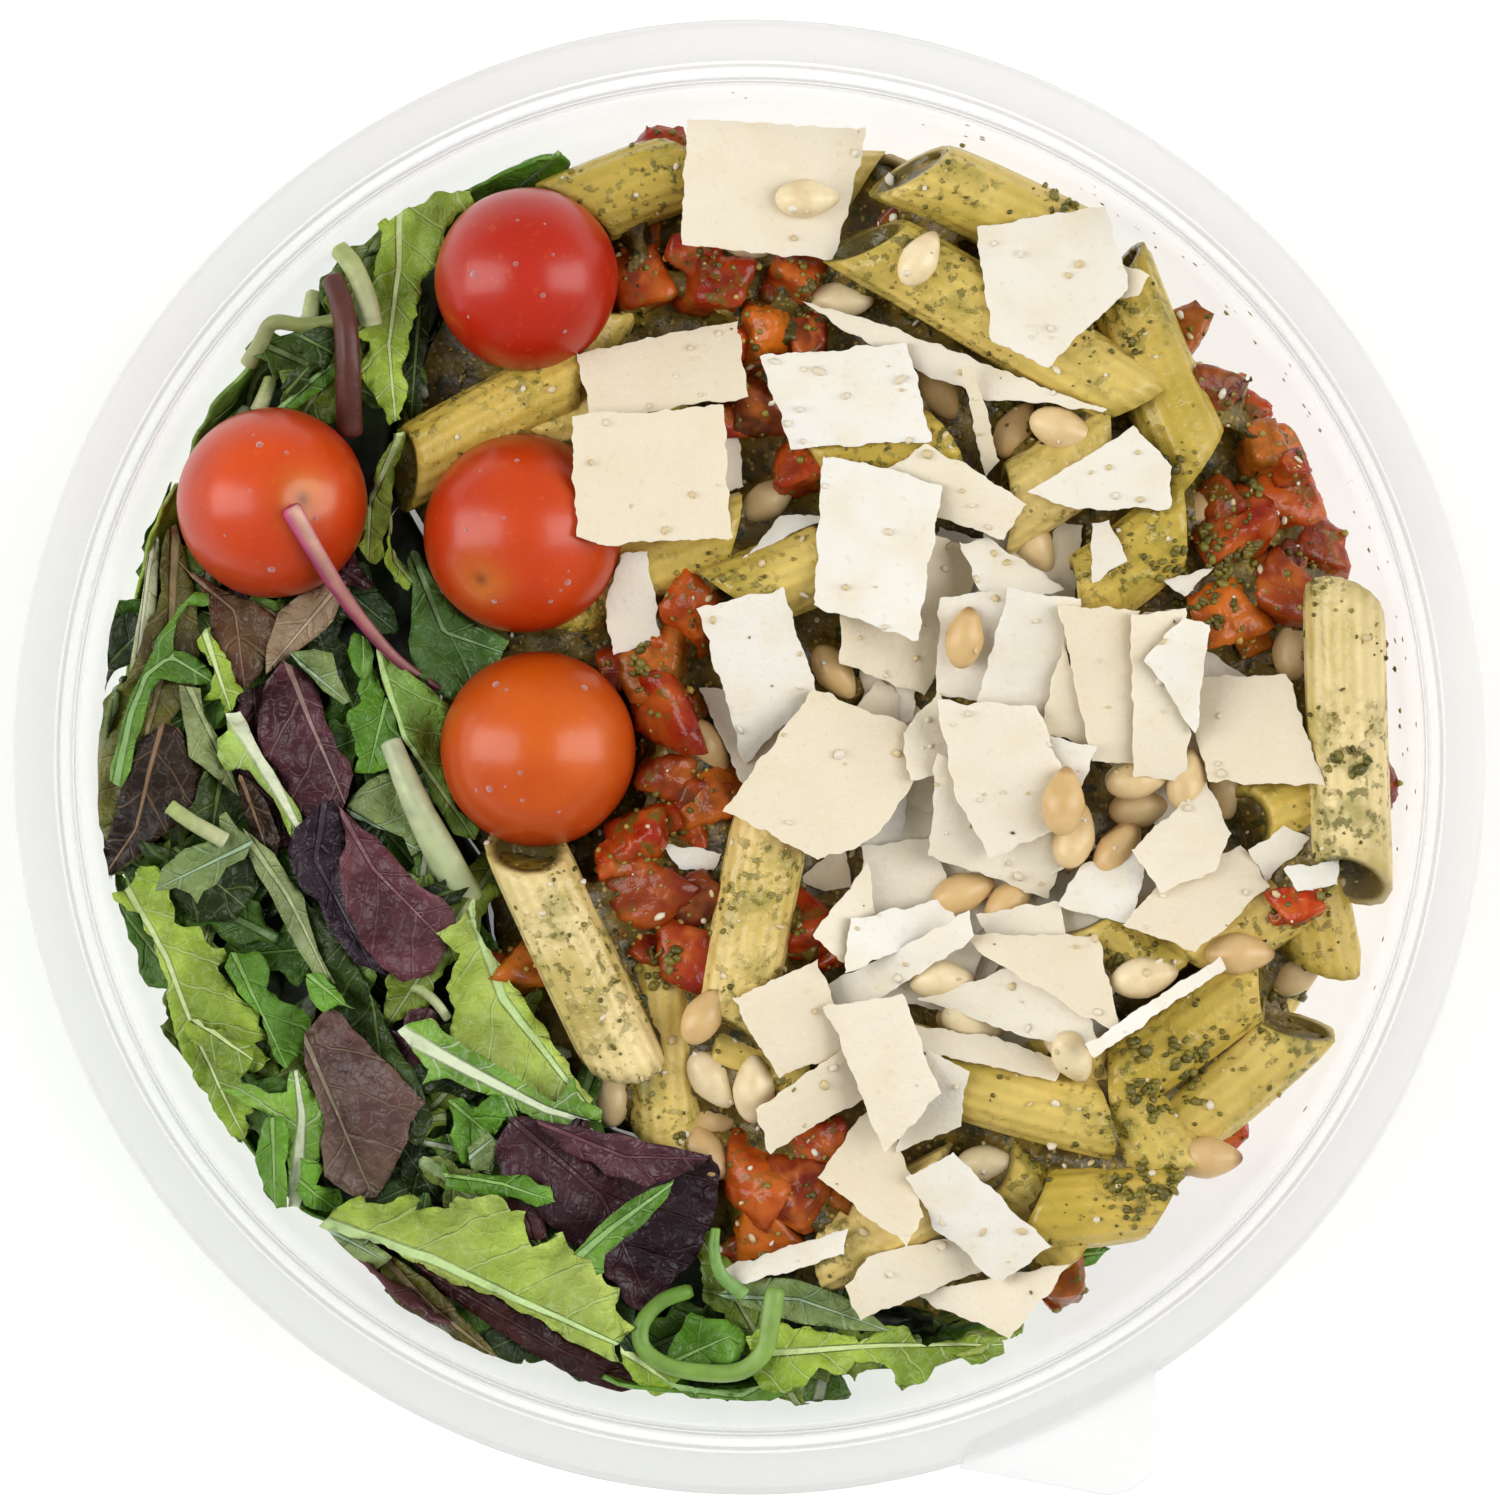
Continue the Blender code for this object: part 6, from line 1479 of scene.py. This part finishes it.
def lay_nuts(packed, draw):
    """The pine nuts: level on the salad, along the face on the shavings, and among the shavings."""
    nuts, level = Batch(), (0, 0, 1)
    cheese = [tree_of(thing.data) for name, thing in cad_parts.items() if name.startswith("cheese")]
    for rows, trees, sink in ((NUTS_ON_SALAD, [packed], 0.5), (NUTS_ON_CHEESE, cheese, 0.48)):
        for x, y, turn in rows:
            spot, up = top_of(trees, x * MM, y * MM)
            centre = spot - Vector((0, 0, sink * NUT_SIZE[2]))
            kernel(nuts, centre, turn, draw.uniform(-0.2, 0.2), up if trees is cheese else level, draw)
    for x, y, turn in NUTS_AMONG_CHEESE:
        spot, up = top_of([*cheese, packed], x * MM, y * MM)
        kernel(nuts, spot + up * 0.36 * NUT_SIZE[2], turn, 0.1, up, draw)
    nuts.build("pine_nuts", pine_nut(), *IN_PASTA)


def build_pasta(draw):
    """The pasta and all that is mixed into it."""
    packed = tree_of(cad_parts["pasta"].data)
    bed_from("pasta", "pasta_bed", 1.5 * MM, rough_pesto, pesto_paste_and_painted_shade(), IN_PASTA[1])
    lay_penne(draw)
    lay_dice(packed, draw)
    lay_nuts(packed, draw)


# The crumbs

def crumbs(batch, trees, count, sizes, tints, keep, draw):
    """Small lumps that stick to whatever is highest, at random places that a test keeps."""
    for _ in range(count):
        x, y = anywhere(84 * MM, draw)
        hit = top_of(trees, x, y) if keep(x / MM, y / MM) else None
        if hit is None:
            continue
        size = draw.uniform(*sizes) * MM
        spin = Euler([draw.uniform(0, 3) for _ in range(3)]).to_matrix()
        shape = Vector((draw.uniform(0.7, 1.4), draw.uniform(0.6, 1.1), draw.uniform(0.35, 0.8)))
        points = []
        for way in CRUMB[0]:
            local = spin @ (way * shape) * size
            points.append(hit[0] + hit[1] * 0.2 * size + local * (1 + 0.3 * noise(way * 2 + hit[0] * 900)))
        batch.add(points, CRUMB[1], linear(draw.choice(tints)))


def over_pasta(x, y):
    """Whether a place lies over the pasta."""
    return leafward(x, y) < -1


def in_clumps(x, y):
    """Whether pesto gathers at a place over the pasta."""
    return over_pasta(x, y) and uneven(x / 7, y / 7, 4) + 0.6 * uneven(x / 2.5, y / 2.5, 9) > 0.08


def in_pesto(x, y):
    """Whether a place lies in one of the thick clumps of pesto."""
    return any(math.hypot(x - a, y - b) < r * (0.6 + uneven(x / 3, y / 3, 2)) for a, b, r in PESTO)


def build_crumbs(settings, draw):
    """Pesto bits and cheese crumbs over the whole salad, and pesto bits on the wall."""
    every = [tree_of(bpy.data.objects[name].data) for name in
             ("pasta_bed", "penne", "tomato_and_pepper_dice", "pine_nuts", "cheese_shavings")]
    trees = every[:3]
    green, pale = Batch(), Batch()
    crumbs(green, trees, settings.crumbs, (0.12, 0.52), HERBS, in_clumps, draw)
    crumbs(green, every, settings.crumbs // 40, (0.12, 0.35), HERBS, in_clumps, draw)
    crumbs(pale, every, settings.crumbs // 12, (0.25, 0.8), CRUMB_SHADES, over_pasta, draw)
    for _ in range(settings.smears):
        a = math.radians(draw.triangular(-35, 100, 45))
        z = draw.triangular(32, 50, 37) * MM
        radius = ellipse_radius(min((z - WALL) / (WALL_HEIGHT - WALL), 1.0)) - 0.15 * MM
        size = draw.uniform(0.12, 0.5) * MM
        spot = Vector((radius * math.cos(a), radius * math.sin(a), z))
        points = [spot + way * Vector((1, 1, 1.2)) * size * (1 + 0.3 * noise(way * 2 + spot * 900))
                  for way in CRUMB[0]]
        green.add([inside(p, 0.0) for p in points], CRUMB[1], linear(draw.choice(HERBS[2:])))
    crumbs(green, trees, PESTO_TRIES, (0.3, 0.95), HERBS[:4] + PASTE, in_pesto, draw)
    green.build("pesto_crumbs", crumb_stuff("herb_crumbs", 0.35), *IN_PASTA)
    pale.build("cheese_crumbs", crumb_stuff("cheese_crumbs_finish", 0.55), *IN_PASTA)


# The cheese

def corner_tops(mesh, corners):
    """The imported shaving's upper corners."""
    made = []
    for x, y in corners:
        near = [v.co.z for v in mesh.vertices if abs(v.co.x - x * MM) < 0.2 * MM and abs(v.co.y - y * MM) < 0.2 * MM]
        if near:
            made.append(Vector((x * MM, y * MM, max(near))))
    return made


def middle_of(corners):
    """The middle of some flat corners."""
    return (sum(corner[k] for corner in corners) / len(corners) for k in (0, 1))


def spread_from_middle(corners, factor):
    """Corners moved away from their middle by a factor, or toward it."""
    cx, cy = middle_of(corners)
    return [(cx + (x - cx) * factor, cy + (y - cy) * factor) for x, y in corners]


def plane_through(points):
    """The height over the plane that fits three or more points: a function of x and y."""
    centre = sum(points, Vector()) / len(points)
    normal = Vector()
    for p, q in zip(points, points[1:] + points[:1]):
        part = (p - centre).cross(q - centre)
        normal += part if part.z > 0 else -part
    return tilted(centre, -normal.x / normal.z, -normal.y / normal.z)


def tilted(centre, along_x, along_y):
    """The height over a plane through a point with these slopes: a function of x and y."""
    return lambda x, y: centre.z + along_x * (x - centre.x) + along_y * (y - centre.y)


def shaving(batch, corners, height, number, depth, draw, settings):
    """A thin shaving: broken edges, a slightly rippled face and crumbly sides."""
    ordered = spread_from_middle(corners, settings.spread)
    if sum(x1 * y2 - x2 * y1 for (x1, y1), (x2, y2) in zip(ordered, ordered[1:] + ordered[:1])) < 0:
        ordered.reverse()
    points, faces, border = filled(ragged(ordered, settings.jag / MM, number * 5.3, 0.5), 1.3, draw)
    pale = linear(draw.choice(CHEESE_SHADES))
    upper, lower, tints = [], [], []
    for x, y in points:
        # The hem is 1 at the broken edge, where the shaving thins out
        hem = math.exp(-border.find((x, y, 0))[2] / 0.35)
        ripple = 0.22 * uneven(x / 6, y / 6, number) + 0.12 * uneven(x / 1.6, y / 1.6, number)
        z = height(x * MM, y * MM) + (ripple - 0.12 * hem) * MM
        upper.append(inside(Vector((x * MM, y * MM, z)), 0.5 * MM))
        lower.append(inside(Vector((x * MM, y * MM, z - depth * (1 - 0.25 * hem))), 0.5 * MM))
        thin = min(max(0.7 * uneven(x / 5, y / 5, number + 7), 0), 0.35)
        tints.append(mixed(pale, linear(CHEESE_THIN), thin))
    batch.add(upper + lower, both_sides(faces, len(points)), tints * 2)


def hidden_flakes(packed, tries, draw):
    """Small flakes that fill in under the shavings in the middle of the pile: corners, and a function of height."""
    for number in range(tries):
        x, y = anywhere(36, draw)
        x, y = 29 + 0.8 * x, -5 + 0.95 * y
        hit = top_of([packed], x * MM, y * MM)
        if x < 17 - 0.2 * y or hit is None:
            continue
        reach, start = draw.uniform(5, 8), draw.uniform(0, 1.5)
        corners = [(x + reach * draw.uniform(0.8, 1.2) * math.cos(start + k * 1.57),
                    y + reach * draw.uniform(0.8, 1.2) * math.sin(start + k * 1.57)) for k in range(4)]
        middle = Vector((x * MM, y * MM, hit[0].z + 0.4 * MM))
        yield number, corners, tilted(middle, draw.uniform(-0.25, 0.25), draw.uniform(-0.25, 0.25))


def build_cheese(settings, draw):
    """All the shavings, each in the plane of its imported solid, and the scraps that stick to the salad."""
    flakes, scraps, finish = Batch(), Batch(), hard_cheese()
    nodes = [f"cheese_{number:02d}" for number in range(1, len(CHEESE) + 1)]
    for number, (node, corners) in enumerate(zip(nodes, CHEESE), 1):
        tops = corner_tops(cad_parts[node].data, corners)
        shaving(flakes, corners, plane_through(tops), number, CHEESE_THICKNESS, draw, settings)
    flakes.build("cheese_shavings", finish, nodes, "hard cheese", 40)
    packed = tree_of(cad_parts["pasta"].data)
    for number, corners in enumerate(SCRAPS, 70):
        tops = [top_of([packed], x * MM, y * MM)[0] for x, y in spread_from_middle(corners, 0.8)]
        shaving(scraps, corners, plane_through(tops), number, SCRAP_THICKNESS, draw, settings)
    for number, corners, height in hidden_flakes(packed, settings.hidden_flakes, draw):
        shaving(scraps, corners, height, 100 + number, FLAKE_THICKNESS, draw, settings)
    scraps.build("cheese_scraps", finish, *IN_PASTA, 40)


# The stage

def build_stage(settings):
    """A white floor, two tall soft boxes left and right, an even fill, and a camera straight above."""
    scene, far = bpy.context.scene, FLOOR_REACH
    mesh = bpy.data.meshes.new("floor")
    mesh.from_pydata([(-far, -far, 0), (far, -far, 0), (far, far, 0), (-far, far, 0)], [], [(0, 1, 2, 3)])
    # Plain matt paper that gives off a little light, so that only a faint shadow stays on it
    made, _ = material("white_paper")
    mesh.materials.append(surface(
        made, Base_Color=linear("fcfcfc"), Roughness=0.9, Emission_Color=WHITE,
        Emission_Strength=settings.table_glow))
    floor = linked("floor", mesh)
    floor.location.z = -FLOOR_DROP
    lamps = []
    for side in (-1, 1):
        light = bpy.data.lights.new(f"soft_box_{side + 2}", "AREA")
        light.shape = "RECTANGLE"
        light.size, light.size_y = BOX_SIZE
        light.energy = settings.box_power
        lamp = linked(light.name, light)
        x, y, z = BOX_PLACE
        lamp.location = (side * x, y, z)
        lamp.rotation_euler = (Vector(BOX_AIM) - lamp.location).to_track_quat("-Z", "Y").to_euler()
        lamps.append(lamp)
    scene.world = bpy.data.worlds.new("even_fill")
    scene.world.use_nodes = True
    colour, strength, *_ = scene.world.node_tree.nodes["Background"].inputs
    colour.default_value, strength.default_value = (1, 1, 1, 1), settings.fill
    view = bpy.data.cameras.new("view_from_above")
    view.sensor_width = SENSOR_WIDTH
    view.lens = SENSOR_WIDTH * (settings.camera_height - BOWL_HEIGHT) / settings.field
    scene.camera = linked("view_from_above", view)
    scene.camera.location = (0, CAMERA_SHIFT, settings.camera_height)
    scene.view_settings.view_transform = "Standard"
    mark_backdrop(floor, *lamps)


# The add-on

class SaladSettings(bpy.types.PropertyGroup):
    """How the salad's pieces are made."""

    seed: bpy.props.IntProperty(name="Seed", description="Start of the random choices", default=11, min=0)
    bead: bpy.props.FloatProperty(
        name="Bead", description="How far the ridge under the mouth stands out", default=0.8 * MM, min=0,
        unit="LENGTH", subtype="DISTANCE")
    pitch: bpy.props.FloatProperty(
        name="Leaf pitch", description="Distance between a leaf's points", default=1.1 * MM, min=0.5 * MM,
        unit="LENGTH", subtype="DISTANCE")
    fillers: bpy.props.IntProperty(
        name="Filler leaves", description="Half hidden leaves under those on top", default=90, min=0)
    leaf_depth: bpy.props.FloatProperty(
        name="Leaf thickness", description="Thickness of a leaf", default=0.4 * MM, min=0.1 * MM,
        unit="LENGTH", subtype="DISTANCE")
    jag: bpy.props.FloatProperty(
        name="Cheese jag", description="How rough a shaving's edge is", default=0.42 * MM, min=0,
        unit="LENGTH", subtype="DISTANCE")
    spread: bpy.props.FloatProperty(
        name="Cheese spread", description="How much larger a shaving is than its packed outline", default=1.11,
        min=1, subtype="FACTOR")
    hidden_flakes: bpy.props.IntProperty(
        name="Hidden shavings", description="Shavings that fill in under those on top", default=55, min=0)
    drops: bpy.props.IntProperty(name="Drops", description="Drops of water on each tomato", default=9, min=0)
    crumbs: bpy.props.IntProperty(
        name="Crumbs", description="Tries at placing a crumb of pesto", default=5200, min=0)
    smears: bpy.props.IntProperty(name="Smears", description="Bits of pesto on the wall", default=60, min=0)


class StageSettings(bpy.types.PropertyGroup):
    """How the stage is lit and seen."""

    camera_height: bpy.props.FloatProperty(
        name="Camera height", description="Height of the camera over the floor", default=1.6, min=0.5,
        unit="LENGTH", subtype="DISTANCE")
    field: bpy.props.FloatProperty(
        name="Field", description="Width that the picture shows at the rim", default=0.19305, min=0.05,
        unit="LENGTH", subtype="DISTANCE")
    box_power: bpy.props.FloatProperty(
        name="Soft box power", description="Power of each soft box", default=19.5, min=0, unit="POWER")
    table_glow: bpy.props.FloatProperty(
        name="Table glow", description="Light that the white table gives off", default=0.2, min=0)
    fill: bpy.props.FloatProperty(name="Fill", description="Strength of the even fill", default=0.36, min=0)


class SALAD_OT_bowl(bpy.types.Operator):
    """Builds the clear bowl with its frosted flange and tab."""
    bl_idname = "salad.bowl"
    bl_label = "Clear bowl"

    def execute(self, context):
        build_bowl(context.scene.salad)
        return {"FINISHED"}


class SALAD_OT_tomatoes(bpy.types.Operator):
    """Builds the four cherry tomatoes and the drops on them."""
    bl_idname = "salad.tomatoes"
    bl_label = "Cherry tomatoes"

    def execute(self, context):
        build_tomatoes(context.scene.salad, random.Random(context.scene.salad.seed))
        return {"FINISHED"}


class SALAD_OT_leaves(bpy.types.Operator):
    """Builds the salad leaves, their stalks and the shaded bed below them."""
    bl_idname = "salad.leaves"
    bl_label = "Salad leaves"

    def execute(self, context):
        build_leaves(context.scene.salad, random.Random(context.scene.salad.seed + 1))
        return {"FINISHED"}


class SALAD_OT_pasta(bpy.types.Operator):
    """Builds the penne, the dice, the pine nuts and the bed of pesto."""
    bl_idname = "salad.pasta"
    bl_label = "Pasta in pesto"

    def execute(self, context):
        build_pasta(random.Random(context.scene.salad.seed + 2))
        return {"FINISHED"}


class SALAD_OT_cheese(bpy.types.Operator):
    """Builds the shavings and scraps of hard cheese."""
    bl_idname = "salad.cheese"
    bl_label = "Cheese shavings"

    def execute(self, context):
        build_cheese(context.scene.salad, random.Random(context.scene.salad.seed + 3))
        return {"FINISHED"}


class SALAD_OT_crumbs(bpy.types.Operator):
    """Sprinkles pesto and cheese crumbs over the finished pieces."""
    bl_idname = "salad.crumbs"
    bl_label = "Crumbs"

    def execute(self, context):
        build_crumbs(context.scene.salad, random.Random(context.scene.salad.seed + 4))
        return {"FINISHED"}


class SALAD_OT_stage(bpy.types.Operator):
    """Sets up the floor, the lights and the camera."""
    bl_idname = "salad.stage"
    bl_label = "Stage"

    def execute(self, context):
        build_stage(context.scene.salad_stage)
        return {"FINISHED"}


STEPS = (SALAD_OT_bowl, SALAD_OT_tomatoes, SALAD_OT_leaves, SALAD_OT_pasta, SALAD_OT_cheese, SALAD_OT_crumbs,
         SALAD_OT_stage)


class SALAD_PT_panel(bpy.types.Panel):
    """Lists the steps of the build."""
    bl_label = "Pasta salad"
    bl_idname = "SALAD_PT_panel"
    bl_space_type = "VIEW_3D"
    bl_region_type = "UI"
    bl_category = "Salad"

    def draw(self, context):
        for made in STEPS:
            self.layout.operator(made.bl_idname)
        for group in (context.scene.salad, context.scene.salad_stage):
            for name in group.bl_rna.properties.keys():
                if name not in ("rna_type", "name"):
                    self.layout.prop(group, name)


CLASSES = (SaladSettings, StageSettings, *STEPS, SALAD_PT_panel)


def register():
    for made in CLASSES:
        bpy.utils.register_class(made)
    bpy.types.Scene.salad = bpy.props.PointerProperty(type=SaladSettings)
    bpy.types.Scene.salad_stage = bpy.props.PointerProperty(type=StageSettings)


def unregister():
    del bpy.types.Scene.salad
    del bpy.types.Scene.salad_stage
    for made in reversed(CLASSES):
        bpy.utils.unregister_class(made)


def main():
    register()
    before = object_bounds()
    for made in STEPS:
        family, name = made.bl_idname.split(".")
        getattr(getattr(bpy.ops, family), name)()
    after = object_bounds()
    [[list(corner) for corner in box] for box in (before, after)]


if __name__ == "__main__":
    main()
